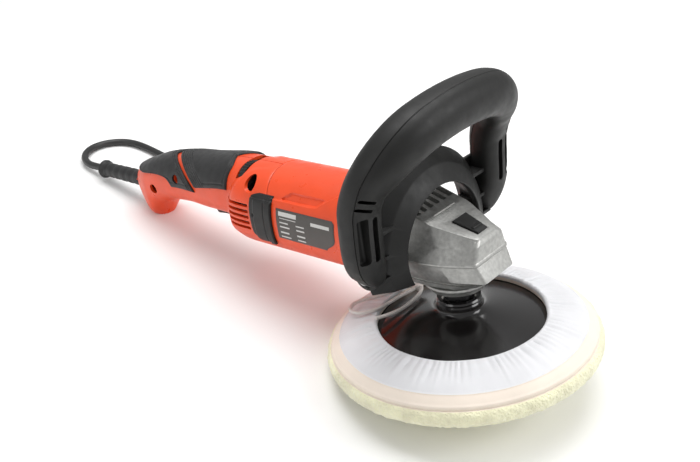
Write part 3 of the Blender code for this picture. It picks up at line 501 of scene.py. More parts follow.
def section(x, degrees):
    """Centre height, half width and half height of the body at a station, on one side of it."""
    side = abs(degrees)
    centre, half_width, upper, lower = curve(NECK, x)
    half_height = upper if side < 90 else lower
    dome = 1 - 0.16 * smoothstep((-0.178 - x) / 0.034) ** 2
    belly = 1 - BELLY * smoothstep((side - 90) / 40)
    pod = (0.0888, 0.0350 * dome, 0.0363 * belly * (1 - 0.5 * (1 - dome)))
    run = 0.007 + 0.007 * smoothstep((side - 80) / 60)
    share = smoothstep((curve(POD_END, side)[0] + 0.3 * run - x) / run)
    return [a + (b - a) * share for a, b in zip(pod, (centre, half_width, half_height))]


def relief(x, degrees):
    """Ledge, pocket and seam of the motor housing, as metres of rise."""
    side = abs(degrees)
    rise = 0.0
    if x > -0.149:
        ledge = curve(LEDGE, x)[0]
        rise += 0.0010 * smoothstep((side - ledge) / 1.6 + 0.5) * smoothstep((131 - side) / 3)
        left = -0.136 + (54 - side) / 10 * 0.008
        right = -0.101 + (56 - side) / 12 * 0.008
        inside = smoothstep((x - left) / 0.0012) * smoothstep((right - x) / 0.0012)
        rise -= 0.0013 * inside * smoothstep((side - 43.5) / 2.0) * smoothstep((ledge - 1.0 - side) / 2.0)
    gap = abs(x - seam_x(degrees))
    return rise - 0.0005 * smoothstep(1 - gap / 0.0009)


def skin(x, degrees, offset=0.0):
    """A point of the body's skin at a station and an angle from the top, raised by an offset."""
    centre, half_width, half_height = section(x, degrees)
    offset += relief(x, degrees)
    power = 2 / (SQUARENESS - 0.25 * smoothstep((abs(degrees) - 90) / 40))
    y, z = squared(math.radians(degrees), power)
    y *= half_width + offset
    z *= half_height + offset
    if x < -0.31 and z < 0:
        below = -z - 0.0215
        y *= 1 - 0.34 * smoothstep(below / 0.016)
    lean = (-0.10 if z > 0 else -0.25) * smoothstep((-0.330 - x) / 0.022)
    return Vector((x + lean * z, y, centre + z))


def on_ground(point):
    """Keeps a point of the tool's frame from going under the ground."""
    low = TOOL @ point
    if low.z < 0:
        low.z = 0.0
        return TOOL.inverted() @ low
    return point


def seam_blend(base, share, gap):
    """A station moved with the seam's bend, by a share of it, and off the seam itself by a gap."""
    def station(degrees):
        bend = min(1.0, max(0.0, share))
        return base + (seam_x(degrees) - SEAM_X) * bend + (gap if base == SEAM_X else 0.0)
    return station


def add_motor_housing():
    angles = [i * 1.2 - 180 for i in range(300)]
    rows = []
    for i in range(111):
        base = BARREL_FRONT - (BARREL_FRONT - SEAM_X) * i / 110
        station = seam_blend(base, (-0.130 - base) / 0.023, SEAM_GAP)
        rows.append([skin(station(degrees), degrees) for degrees in angles])
    barrel = raw("barrel", grid(rows, wrap=True))
    thicken(barrel, WALL)
    return piece(barrel, "motor_shell", "orange", ["motor_housing"])


def thicken(made, depth):
    """Gives a sheet of the body's skin a wall on its inner side."""
    away = 0.0
    for face in made.data.polygons:
        axis = Vector((face.center.x, 0.0, MOTOR_Z))
        away += face.normal.dot(face.center - axis) * face.area
    if away < 0:
        made.data.flip_normals()
    solid = made.modifiers.new("wall", "SOLIDIFY")
    solid.thickness = depth
    solid.offset = -1.0
    return bake(made)


def add_handle_shell(side, word):
    """One half of the rear handle, from the seam over the pod and the neck to the foot."""
    angles = [side * 180 * i / 124 for i in range(125)]
    angles[0], angles[-1] = side * 0.25, side * 179.75
    rows = []
    for i in range(150):
        base = SEAM_X - 0.00136 * i
        station = seam_blend(base, (base + 0.178) / 0.025, -SEAM_GAP)
        rows.append([on_ground(skin(station(degrees), degrees)) for degrees in angles])
    hub = Vector((base, 0.0, RELIEF_Z))
    outline = rows[-1]
    for share in (0.93, 0.82):
        rows.append([hub + (point - hub) * share - Vector((0.0012 * (1 - share), 0, 0)) for point in outline])
    last = []
    for degrees in angles:
        angle = math.radians(degrees)
        last.append(hub + Vector((-0.0004, 0.0077 * math.sin(angle), 0.0077 * math.cos(angle))))
    rows.append(last)
    shell = raw("shell", grid(rows))
    thicken(shell, WALL)
    cutters = []
    for number in range(5):
        z = 0.0812 + 0.0048 * number
        low, high = (-0.2030, z - 0.0013), (-0.1730, z + 0.0013)
        cutters.append(slab("vent", side, (0.020, 0.050), low, high, 0.0010, 2))
    if side < 0:
        for (x, z), radius in zip(SHELL_SCREWS, (0.0056, 0.0036, 0.0046, 0.0036)):
            cutters.append(rod("recess", radius, (x, -0.0500, z), (x, -0.0063, z)))
    combine(shell, [join("openings", cutters)])
    slots = [block("slot", (-0.2530, -0.0082, 0.0500), (-0.2215, 0.0082, 0.0830), 0.001),
             block("slot", (-0.1958, -0.0222, 0.1060), (-0.1872, 0.0113, 0.1400), 0.001)]
    combine(shell, [join("slots", slots)])
    piece(shell, f"handle_half_{word}", "orange", [f"handle_shell_{word}"])


def skin_plate(name, point, height, across=40, along=60, base=0.00025):
    """A closed plate on the skin. point(u, v) gives x and degrees, height(u, v) its thickness there."""
    def sheet(thickness):
        places = [[(i / across, j / along) for i in range(across + 1)] for j in range(along + 1)]
        return [[skin(*point(u, v), base + thickness(u, v)) for u, v in row] for row in places]

    bm = grid(sheet(height))
    top = list(bm.verts)
    low = [[bm.verts.new(p) for p in row] for row in sheet(lambda u, v: 0.0)]
    count = across + 1
    for first, second in zip(low, low[1:]):
        for i in range(across):
            bm.faces.new((first[i], second[i], second[i + 1], first[i + 1]))
    border = [(0, i) for i in range(across)] + [(j, across) for j in range(along)]
    border += [(along, across - i) for i in range(across)] + [(along - j, 0) for j in range(along)]
    for (j, i), (jj, ii) in zip(border, border[1:] + border[:1]):
        bm.faces.new((top[j * count + i], top[jj * count + ii], low[jj][ii], low[j][i]))
    return raw(name, bm)


def rim(distance, width=0.0011):
    """Rises from 0 at an edge to 1 over a round of the given width."""
    share = min(1.0, max(0.0, distance / width))
    return math.sqrt(1 - (1 - share) ** 2)


def groove(distance, width=0.0009):
    return smoothstep(1 - abs(distance) / width)


def stripe(degrees):
    return -0.2890 + 0.0400 * abs(degrees) / 84


PAD_TAIL = [(0, -0.346), (34, -0.344), (54, -0.332), (70, -0.301), (76, -0.292), (92, -0.284)]
DEGREE = 0.00042                 # arc of one degree on the handle


def add_grip_pads():
    """The soft pads over the handle, with ribs beside the slanting stripe and a groove inside their outline."""
    def front_point(u, v):
        degrees = (2 * v - 1) * (75 + 10 * u)
        crown = max(0.0, 1 - abs(degrees) / 30) ** 1.5
        front = -0.2050 - 0.0090 * crown
        return front + (stripe(degrees) - front) * u, degrees

    def front_height(u, v):
        x, degrees = front_point(u, v)
        front, rear = front_point(0, v)[0], front_point(1, v)[0]
        ends = min(front - x, x - rear)
        side = (1 - abs(2 * v - 1)) * (75 + 10 * u) * DEGREE
        rise = 0.0018 * rim(min(ends, side), 0.0014)
        ribs = max(groove(x - rear - 0.0030 * n, 0.0009) for n in (1.4, 2.4, 3.4, 4.4, 5.4))
        inset = max(groove(front - x - 0.0034), groove(side - 0.0034)) if x - rear > 0.018 else 0.0
        return rise - 0.0007 * ribs * rim(side, 0.006) - 0.0006 * inset * rim(min(ends, side) - 0.002, 0.002)

    def rear_point(u, v):
        degrees = (2 * v - 1) * 92
        front = stripe(degrees) - 0.0055
        return front + (curve(PAD_TAIL, abs(degrees))[0] - front) * u, degrees

    def rear_height(u, v):
        x, degrees = rear_point(u, v)
        front, rear = rear_point(0, v)[0], rear_point(1, v)[0]
        side = (1 - abs(2 * v - 1)) * 92 * DEGREE
        edge = min(front - x, x - rear, side)
        ribs = max(groove(front - x - 0.0030 * n) for n in (1.1, 2.1))
        inset = max(groove(x - rear - 0.0040), groove(side - 0.0036))
        rise = 0.0018 * rim(edge, 0.0014) - 0.0007 * ribs * rim(side, 0.005)
        return rise - 0.0006 * inset * rim(edge - 0.002, 0.002)

    front = skin_plate("front", front_point, front_height, 110, 150)
    piece(front, "grip_pad_front", "grip", ["front_grip_pad"], smooth=50)
    rear = skin_plate("rear", rear_point, rear_height, 140, 160)
    combine(rear, [rod("bore", 0.0040, (-0.276, -0.050, 0.102), (-0.276, -0.008, 0.102))])
    piece(rear, "grip_pad_rear", "grip", ["rear_grip_pad"], smooth=50)


COVER_REAR = [(54, -0.1605), (57, -0.166), (60, -0.1695), (100, -0.1695), (106, -0.1668), (112, -0.1610)]


def add_brush_covers():
    for side, word in SIDES:
        def point(u, v, side=side):
            degrees = 54 + 58 * v
            front = -0.1445
            return front + (curve(COVER_REAR, degrees)[0] - front) * u, side * degrees

        def height(u, v):
            x, degrees = point(u, v)
            front, rear = point(0, v)[0], point(1, v)[0]
            edge = min(front - x, x - rear, min(v, 1 - v) * 0.036)
            slope = 0.0010 * smoothstep((0.16 - v) / 0.03)
            notch = smoothstep(1 - abs(v - 0.50) / 0.05) * smoothstep(1 - abs(x + 0.1655) / 0.0022)
            step = 0.0007 * smoothstep((x + 0.1655) / 0.0012) * smoothstep((v - 0.17) / 0.03)
            return 0.0015 * rim(edge) + step - slope - 0.0016 * notch

        cover = skin_plate("cover", point, height, 60, 90)
        piece(cover, f"brush_cap_{word}", "dark", [f"brush_cover_{word}"], smooth=40)


def add_rating_plate():
    """The plate stays blank: plain grey bars stand where the printed lines are."""
    def outline(u, v):
        degrees = 68 + 31 * v
        front = -0.0795 - 0.0095 * smoothstep((v - 0.66) / 0.34) - 0.0020 * smoothstep((0.12 - v) / 0.12)
        return front + (-0.1395 - front) * u, -degrees

    def height(u, v):
        return 0.0006 * rim(min(u, 1 - u, v, 1 - v) * 0.02, 0.0006)

    plate = skin_plate("plate", outline, height, 60, 30)
    piece(plate, "blank_plate", "plate", ["rating_plate"], smooth=50)
    bars = [(0.055, 0.37, 0.10, 0.26), (0.07, 0.36, 0.33, 0.355), (0.62, 0.93, 0.24, 0.36)]
    for n in range(4):
        line = (0.47 + 0.13 * n, 0.51 + 0.13 * n)
        bars += [(0.07, 0.22 + 0.02 * (n % 2), *line), (0.36, 0.50, *line)]
    marks = []
    for start, end, top, bottom in bars:
        def point(u, v, start=start, end=end, top=top, bottom=bottom):
            degrees = 68 + 31 * (top + (bottom - top) * v)
            return -0.1395 + 0.0600 * (start + (end - start) * (1 - u)), -degrees
        marks.append(skin_plate("bar", point, lambda u, v: 0.00006, 12, 4, 0.00086))
    piece(join("bars", marks), "plate_bars", "print", smooth=50)


# ---------------------------------------------------------------- gear head

def top_height(x):
    return 0.112 - 0.32 * (x - 0.004)


def plan(z, front, nose, chamfer, side, back=-0.045, shrink=0.0):
    """One level of the gear case with its corners rounded."""
    half = [(front, nose), chamfer, side, (back, side[1])]
    points = [Vector((x, y)) for x, y in half] + [Vector((x, -y)) for x, y in reversed(half)]
    outline = []
    for i, here in enumerate(points):
        if i in (3, 4):
            outline.append(here)
            continue
        sides = [points[i - 1] - here, points[(i + 1) % 8] - here]
        ends = [here + edge.normalized() * min(0.0032, edge.length * 0.42) for edge in sides]
        for t in (0.0, 0.2, 0.4, 0.6, 0.8, 1.0):
            outline.append((1 - t) ** 2 * ends[0] + 2 * t * (1 - t) * here + t * t * ends[1])
    result = []
    for x, y in outline:
        result.append(Vector((x - (shrink if x > -0.02 else 0), y - math.copysign(min(shrink, abs(y)), y), z)))
    return result


# Levels of the gear case in millimetres: height, front, half width there, chamfer's and side's x and y.
LEVELS = metres([
    (66, 26.5, 10.5, (14.2, 20.5), (-4, 24.5)),
    (70.8, 31.2, 13.2, (15.2, 22.5), (-5, 26.2)),
    (75, 36.8, 17.2, (16.4, 25.2), (-5.5, 28)),
    (86.4, 31.4, 19, (10, 27.8), (-8, 31.6)),
    (87.3, 31.8, 19.6, (10.2, 28.6), (-8, 32.4)),
    (88.6, 31.6, 19.6, (10.2, 28.6), (-8, 32.4)),
    (89.6, 31, 18.9, (10, 27.8), (-7.6, 31.6)),
    (99, 31.1, 15.6, (22.2, 20.5), (4, 25.6)),
    (100.4, 30.8, 15, (21.9, 19.7), (3.8, 24.8)),
])


def window(levels, back, front):
    """A block round the lock button's window. Each level has its height over the top and its growth."""
    rows = []
    for level, grow in levels:
        outline = [(0.0070 - grow * back, 0.0078 + grow), (0.0255 + grow * front, 0.0052 + grow)]
        outline += [(x, -y) for x, y in reversed(outline)]
        rows.append([Vector((x, y, top_height(x) + level)) for x, y in outline])
    return raw("window", grid(rows, wrap=True, caps=True))


def bolt_rods(name, radius, start, end, steps=32):
    """A rod on each side of the tool along the handle bolts."""
    made = []
    for side, _ in SIDES:
        made.append(rod(name, radius, (BOLT_X, side * start, BOLT_Z), (BOLT_X, side * end, BOLT_Z), steps))
    return made


def add_gear_case():
    rows = []
    for number, z, shrink in ((0, 0.0660, 0.0010), (0, 0.0668, 0.0), (1, 0.0704, 0.0004), (1, 0.0708, 0.0012),
                              (1, 0.0715, 0.0012), (1, 0.0719, -0.0003)):
        rows.append(plan(z, *LEVELS[number][1:], shrink=shrink))
    rows += [plan(*level) for level in LEVELS[2:]]
    deck = (0.0297, 0.0116, (0.0170, 0.0165), (0.0000, 0.0224))
    for shrink, drop in ((0.0, 0.0013), (0.0003, 0.0004), (0.0013, 0.0)):
        rows.append([Vector((p.x, p.y, top_height(p.x) - drop)) for p in plan(0.0, *deck, shrink=shrink)])
    case = raw("case", grid(rows, wrap=True, caps=True))
    neck = turned("neck", soften(metres([
        (0, -40), (25, -40), (26.2, -54.8), (35.5, -54.8), (35.5, -62.2), (0, -62.2),
    ]), 0.0009, False), 96, Matrix.Translation((0, 0, MOTOR_Z)) @ ALONG_X)
    combine(case, [neck], "UNION")
    combine(case, bolt_rods("boss", 0.0085, 0.0200, 0.0435, 40), "UNION")
    rib = block("rib", (-0.0062, -0.0120, 0.1120), (-0.0046, 0.0120, top_height(-0.0054) + 0.0007), 0.0006)
    combine(case, [rib], "UNION")
    slots = []
    for n in range(6):
        y = -0.0180 + 0.0072 * n
        slots.append(block("slot", (-0.0330, y - 0.0021, 0.1100), (-0.0122, y + 0.0021, 0.1400), 0.0012))
    slots.append(block("step", (-0.0360, -0.0300, 0.1215), (-0.0255, 0.0300, 0.1400)))
    combine(case, slots)
    well = window([(-0.0046, 0.0004), (-0.0004, 0.0006), (0.0060, 0.0052)], 1.2, 0.3)
    combine(case, [well, rod("pin_way", 0.0024, (0.0150, 0, 0.100), (0.0150, 0, 0.1115))])
    chamber = turned("chamber", metres([
        (0, 100), (9, 100), (9, 95.8), (21.5, 95.8), (21.5, 60), (0, 60),
    ]), 48)
    combine(case, [chamber])
    piece(case, "gear_housing", "cast", ["gear_case"], smooth=28)


def add_gear_details():
    cover = turned("cover", soften(metres([
        (20.5, 70), (20.5, 65.7), (24.3, 65.7), (24.3, 63.6), (21.2, 60.6), (20.4, 58.5), (9.2, 58.5),
        (9.2, 61.5), (15, 61.5), (15, 70),
    ]), 0.0005), 128)
    piece(cover, "bearing_collar", "cast", ["bearing_cover"])

    def flats(angle, radius, height):
        if 0.0500 < height < 0.0546 and radius > 0.0100:
            turn = (angle + math.pi / 6) % (math.pi / 3) - math.pi / 6
            return min(radius, 0.0108 / math.cos(turn))
        return radius

    spindle = turned("spindle", soften(metres([
        (0, 104.8), (4.5, 104.8), (4.5, 95), (6, 95), (6, 61.2), (8.7, 61.2), (8.7, 54.5), (12, 54.5),
        (12, 50), (7, 50), (7, 30), (0, 30),
    ]), 0.0003, False), 96, None, flats)
    piece(spindle, "drive_spindle", "dark_steel", ["spindle"], body="spindle_group")
    button = window([(-0.0020, -0.0004), (-0.0016, 0.0), (0.0010, 0.0), (0.0013, -0.0004)], 1, 1)
    ridge = block("ridge", (0.0195, -0.0048, -0.0006), (0.0222, 0.0048, 0.0012), 0.0005,
                  matrix=Matrix.Translation((0, 0, top_height(0.0208) + 0.0009)))
    pin = rod("pin", 0.0020, (0.0150, 0, 0.0895), (0.0150, 0, 0.1075))
    combine(button, [ridge, pin], "UNION")
    piece(button, "lock_key", "dark", ["spindle_lock_button"], body="lock_button")


def add_screw(name, node, sizes, place, turn):
    """A pan-head screw with a six-sided socket. Sizes: head radius and height, shank radius and length."""
    head, height, shank, length = sizes
    made = turned("screw", soften([
        (0.0, height), (head * 0.8, height), (head, height * 0.55), (head, 0.0003), (shank, 0.0003),
        (shank, -length), (0.0, -length - 0.0006),
    ], 0.0004, False), 40)
    bm = bmesh.new()
    bmesh.ops.create_cone(bm, cap_ends=True, segments=6, radius1=head * 0.5, radius2=head * 0.5, depth=height)
    bmesh.ops.translate(bm, vec=(0, 0, height), verts=bm.verts)
    combine(made, [raw("socket", bm)])
    piece(made, name, "steel", [node], TOOL @ Matrix.Translation(place) @ turn)


def add_screws():
    reach = 0.0219
    for number, (sy, sz) in enumerate([(1, 1), (1, -1), (-1, 1), (-1, -1)], start=1):
        add_screw(f"flange_screw_{number}", f"case_screw_{number}", (0.0036, 0.0040, 0.0019, 0.0120),
                  (-0.0550, sy * reach, MOTOR_Z + sz * reach), ALONG_X)
    upright = Matrix.Rotation(math.pi / 2, 4, "X")
    for number, (x, z) in enumerate(SHELL_SCREWS, start=1):
        add_screw(f"half_screw_{number}", f"shell_screw_{number}", (0.0032, 0.0030, 0.0016, 0.0155),
                  (x, -0.0063, z), upright)
    for side, word in SIDES:
        add_screw(f"handle_bolt_{word}", f"loop_bolt_{word}", (0.0062, 0.0042, 0.0040, 0.0394),
                  (BOLT_X, side * 0.0640, BOLT_Z), Matrix.Rotation(-side * math.pi / 2, 4, "X"))


# ---------------------------------------------------------------- loop handle

# Half of the loop's centre line in millimetres: y, height, x, half width in the loop's plane, half depth.
LOOP = metres([
    (58, 93, -21.5, 9.5, 9.8), (65, 96.5, -20, 11.5, 10.8), (70.5, 104, -18.4, 13, 11.3),
    (72.7, 113, -17.2, 13.8, 11.6), (73.2, 124, -16.6, 13.9, 11.6), (73.2, 134, -16, 13.9, 11.6),
    (72.8, 146, -14.5, 14, 12.1), (70.5, 160, -8.5, 14.6, 13.3), (64, 172, -0.5, 15.6, 15),
    (53, 181.5, 5.5, 16.3, 16), (39, 187.5, 8.8, 16.6, 16.5), (20, 190.5, 10, 16.6, 16.6),
])
PARTING = 24.0                   # degrees of the grip's parting line from its outermost line towards the front


def loop_tube():
    stations = [(-y, z, x, w, d) for y, z, x, w, d in LOOP] + [(0.0, 0.1915, 0.0104, 0.0166, 0.0166)]
    stations += [tuple(row) for row in reversed(LOOP)]
    table = [(float(i), *row) for i, row in enumerate(stations)]
    last = len(table) - 1
    steps = 190
    centres, sizes = [], []
    for i in range(steps + 1):
        y, z, x, half_width, half_depth = curve(table, last * i / steps)
        centres.append(Vector((x, y, z)))
        sizes.append((half_width, half_depth))
    lines = [PARTING + half + step for half in (0, 180) for step in (-2, -1, 1, 2)]
    turns = sorted([6.0 * n for n in range(60)] + lines)
    rows = []
    for i, centre in enumerate(centres):
        before, after = centres[max(0, i - 1)], centres[min(steps, i + 1)]
        along = (after - before).normalized()
        depth = (Vector((1, 0, 0)) - along * along.x).normalized()
        outward = depth.cross(along)
        if outward.dot(centre - Vector((centre.x, 0, 0.118))) < 0:
            outward = -outward
        half_width, half_depth = sizes[i]
        end = min(i, steps - i) / 5
        close = math.sqrt(max(0.0, 1 - (1 - min(1.0, 0.25 + 0.75 * end)) ** 2))
        boxy = 2.2 + 0.7 * smoothstep((0.165 - centre.z) / 0.03)
        row = []
        for degrees in turns:
            cut = 0.00045 * smoothstep(1 - abs((degrees - PARTING + 90) % 180 - 90) / 1.9)
            sine, cosine = squared(math.radians(degrees), 2 / boxy)
            a = cosine * (half_width - cut) * close
            b = sine * (half_depth - cut) * close
            row.append(centre + outward * a + depth * b)
        rows.append(row)
    return raw("loop", grid(rows, wrap=True, caps=True))


def add_loop_handle():
    """The loop with its ring round the gear case, gussets, webs and bolt lugs, less bolt ways and slots."""
    handle = loop_tube()
    ring = turned("ring", soften(metres([
        (40, -7), (40.8, -6.2), (53.2, -12.8), (63.3, -23.6), (62.8, -24.8), (60.2, -24.8), (51.2, -16.2),
        (47.8, -15), (53.5, -32), (51, -33), (43.4, -11), (40, -10.6),
    ]), 0.0009), 160, Matrix.Translation((0, 0, RING_Z)) @ Matrix.Scale(1.04, 4, (0, 1, 0)) @ ALONG_X)
    combine(ring, [block("cut", (-0.05, -0.09, 0.0), (0.02, 0.09, 0.0745))])
    combine(handle, [ring], "UNION")
    gussets, webs, slots = [], [], []
    for side, _ in SIDES:
        for z in (0.0870, 0.1020, 0.1200):
            low, high = (-0.0270, z - 0.0013), (-0.0120, z + 0.0013)
            gussets.append(slab("gusset", side, (0.0450, 0.0640), low, high, 0.0004, 2))
        webs.append(slab("web", side, (0.0480, 0.0655), (-0.0275, 0.0790), (-0.0245, 0.1290), 0.0005, 2))
        for near, far, low, high in ((0.0776, 0.0850, 0.1100, 0.1425), (0.0690, 0.0738, 0.1085, 0.1405)):
            slots.append(slab("slot", side, (near, far), (-0.0120, low), (0.0080, high), 0.0018))
        for reach, z in ((0.0795, 0.1545), (0.0805, 0.1487)):
            turn = Matrix.Translation((0.0, side * reach, z)) @ Matrix.Rotation(side * 0.38, 4, "X")
            slots.append(block("slot", (-0.0110, -0.0054, -0.0011), (0.0120, 0.0054, 0.0011), 0.0009, 3, turn))
    combine(handle, [join("gussets", gussets)], "UNION")
    combine(handle, [join("webs", webs)], "UNION")
    combine(handle, [join("lugs", bolt_rods("lug", 0.0102, 0.0438, 0.0650, 48))], "UNION")
    combine(handle, [join("ways", bolt_rods("way", 0.0043, 0.0300, 0.0700))])
    combine(handle, [join("sinks", bolt_rods("sink", 0.0076, 0.0640, 0.0900, 48))])
    combine(handle, [join("slots", slots)])
    piece(handle, "loop_grip", "black", ["loop_handle"], smooth=30)


# ---------------------------------------------------------------- controls

KNURLS = 36


def add_controls():
    def knurl(angle, radius, height):
        if radius < 0.0150:
            return radius
        return radius - 0.00045 * (1 + math.cos(KNURLS * angle)) * (1 if abs(height) < 0.0030 else 0.3)

    wheel = turned("wheel", soften(metres([
        (3.2, 3.4), (12, 3.4), (12.5, 2.8), (16, 2.8), (16, -2.8), (12.5, -2.8), (12, -3.4), (3.2, -3.4),
    ]), 0.0005), 288, Matrix.Translation(DIAL) @ ALONG_X, knurl)
    piece(wheel, "dial_knob", "dark", ["speed_dial"], smooth=45, body="dial_wheel")
    x, _, z = TRIGGER
    rows = []
    for i in range(25):
        share = i / 24
        along = x - 0.0240 + 0.0265 * share
        dip = 0.0012 * math.sin(math.pi * share) ** 2 + 0.0022 * smoothstep((share - 0.88) / 0.12)
        dip += 0.0026 * smoothstep((0.10 - share) / 0.10)
        low, high = z - 0.0110 + dip, z + 0.0030
        squeeze = 0.0012 * smoothstep((0.06 - min(share, 1 - share)) / 0.06)
        row = []
        for k in range(28):
            sine, cosine = squared(2 * math.pi * k / 28, 0.5)
            upward = cosine * ((high - low) / 2 - squeeze)
            row.append(Vector((along, sine * (0.0072 - squeeze), (low + high) / 2 + upward)))
        rows.append(row)
    lever = raw("lever", grid(rows, wrap=True, caps=True))
    combine(lever, [rod("bore", 0.0018, (x, -0.02, z), (x, 0.02, z))])
    piece(lever, "trigger_lever", "dark", ["trigger"], smooth=40, body="trigger_lever")


# ---------------------------------------------------------------- pad, bonnet and string

def cone_height(radius):
    share = (radius - 0.0168) / (PAD_RADIUS - 0.0168)
    return 0.0400 - 0.0172 * max(0.0, share) ** 0.8


def add_pad():
    outline = metres([(13, 49.7), (15.8, 49.7), (16.6, 48.5), (16, 47), (16.8, 46), (16.6, 42)])
    for r in (17.2, 18, 19, 20.5, 22.5, 25, 28, 32, 37, 42, 48, 54, 60, 68, 78, 87):
        outline.append((r / 1000, cone_height(r / 1000) + 0.0016 * math.exp(-(r - 16.8) / 2.2)))
    outline += [(PAD_RADIUS, 0.0190), (0.0130, 0.0190)]
    pad = turned("pad", outline, 160)
    piece(pad, "pad_cone", "gloss", ["backing_pad"], smooth=40, body="spindle_group")


# The bonnet's outer side in millimetres, from the mouth over the rim to the face's middle: radius, height.
BONNET = metres([
    (60.6, 31.6), (61, 33.3), (62.4, 34.2), (64.1, 33.7), (66.6, 33.1), (70.2, 32.5), (76, 31.2),
    (83, 29.2), (88.5, 26.4), (92.5, 23.8), (95.8, 20.7), (97.2, 18.9), (97.8, 18), (99, 16.6),
    (99.8, 13.5), (99.4, 10.3), (97.5, 7.7), (94, 5.8), (89, 5), (70, 5), (40, 5), (15, 5), (0, 5),
])
FACE_ROW = 18                    # where the flat face starts
BAND_START = 0.49                # shares of the way from the mouth to the face where the cloth changes
FLEECE_START = 0.655
SKIRT = 0.075                    # length of the outer side from the mouth to the face


def around(angle, scale, offset):
    """Smooth noise that closes on itself round the bonnet."""
    return noise.noise(Vector((math.cos(angle) * scale, math.sin(angle) * scale, offset)))


def bonnet_profile():
    """Points along the outer side, evenly spaced up to the face."""
    table = [(0.0, *BONNET[0])]
    for before, after in zip(BONNET, BONNET[1:]):
        table.append((table[-1][0] + (Vector(after) - Vector(before)).length, *after))
    face = table[FACE_ROW][0]
    stations = [face * i / 110 for i in range(111)]
    stations += [face + (table[-1][0] - face) * i / 14 for i in range(1, 15)]
    return [(s / face, *curve(table, s)) for s in stations]


def pleat(angle, share):
    """Soft folds that start at the gathered mouth and die out before the rim."""
    depth = 0.5 + 0.8 * around(angle, 5.0, 1.0)
    first = math.sin(angle * 44 + 6.0 * around(angle, 2.3, 4.0))
    second = math.sin(angle * 27 + 5.0 * around(angle, 3.1, 9.0))
    crease = (0.00060 * (abs(first) ** 0.7 * 2 - 1) + 0.00045 * second) * (0.35 + depth)
    reach = 0.22 + 0.34 * depth + 0.08 * second
    return crease * smoothstep((share - 0.035) / 0.06) * (1 - smoothstep((share - 0.10) / reach))


def cloth_rise(angle, share, radius, height):
    """How far the cloth stands off its smooth outline: folds, seams, pile and slack."""
    rise = pleat(angle, share)
    slack = smoothstep(share / 0.2) * smoothstep((0.95 - share) / 0.2)
    rise += 0.0009 * around(angle, 1.7, 2.0 + 3 * share) * slack
    rise += 0.0005 * groove((share - BAND_START) * SKIRT, 0.0010)
    rise -= 0.0011 * groove((share - FLEECE_START) * SKIRT, 0.0014)
    rise += 0.0006 * groove((share - FLEECE_START + 0.040) * SKIRT, 0.0016)
    if share < 0.035:
        rise += 0.00014 * math.sin(angle * 130)
    level = smoothstep((share - FLEECE_START) / 0.03) * (1 - 0.7 * smoothstep((share - 0.93) / 0.07))
    if level > 0:
        spot = polar(radius, angle, height)
        rise += level * (0.0003 + 0.0006 * noise.noise(spot * 260) + 0.0005 * noise.noise(spot * 640))
    return rise


def add_bonnet():
    """Gathered cloth over the pad, a plain band, an edged seam and a pile face, as one padded piece."""
    profile = bonnet_profile()
    steps = 560
    inner = [(0.0, 0.0100), (0.0400, 0.0100), (0.0873, 0.0100), (0.0873, 0.0235)]
    inner += [(radius, cone_height(radius) + 0.0006) for radius in (0.0800, 0.0700, 0.0612)]
    bm = bmesh.new()
    rings = []
    for step in range(steps):
        angle = 2 * math.pi * step / steps
        hem = 0.0008 * around(angle, 2.6, 6.0)
        row = []
        for i, (share, radius, height) in enumerate(profile):
            before, after = profile[max(0, i - 1)], profile[min(len(profile) - 1, i + 1)]
            along = Vector((after[1] - before[1], after[2] - before[2])).normalized()
            rise = 0.0 if share > 1.0 else cloth_rise(angle, share, radius, height)
            reach = radius - along.y * rise + hem * (1 - smoothstep(share / 0.12))
            row.append(polar(reach, angle, height + along.x * rise))
        row += [polar(radius, angle, height) for radius, height in inner]
        rings.append([bm.verts.new(on_ground(point)) for point in row])
    zones = [0 if share < BAND_START else 1 if share < FLEECE_START else 2 for share, _, _ in profile]
    zones += [1] * len(inner)
    face_end = len(profile) - 1
    for first, second in zip(rings, rings[1:] + rings[:1]):
        for i in range(len(zones)):
            if i != face_end:
                j = (i + 1) % len(zones)
                bm.faces.new((first[i], first[j], second[j], second[i])).material_index = zones[i]
    made = raw("bonnet", cleaned(bm))
    for key in ("cloth", "band", "fleece"):
        made.data.materials.append(FINISHES[key])
    piece(made, "gathered_bonnet", None, ["bonnet"], smooth=60, body="spindle_group")


def smooth_route(points, count, passes=0):
    """Points along a smooth curve through a given route, evenly spaced and eased by a few passes."""
    dense = []
    padded = [2 * points[0] - points[1]] + points + [2 * points[-1] - points[-2]]
    for p0, p1, p2, p3 in zip(padded, padded[1:], padded[2:], padded[3:]):
        for step in range(16):
            t = step / 16
            dense.append(0.5 * (2 * p1 + (p2 - p0) * t + (2 * p0 - 5 * p1 + 4 * p2 - p3) * t ** 2
                                + (3 * p1 - p0 - 3 * p2 + p3) * t ** 3))
    dense.append(points[-1])
    reach = [0.0]
    for a, b in zip(dense, dense[1:]):
        reach.append(reach[-1] + (b - a).length)
    result = []
    index = 0
    for i in range(count):
        goal = reach[-1] * i / (count - 1)
        while index < len(reach) - 2 and reach[index + 1] < goal:
            index += 1
        span = max(reach[index + 1] - reach[index], 1e-9)
        result.append(dense[index].lerp(dense[index + 1], (goal - reach[index]) / span))
    for _ in range(passes):
        middle = [(a + 2 * b + c) / 4 for a, b, c in zip(result, result[1:], result[2:])]
        result = [result[0]] + middle + [result[-1]]
    return result


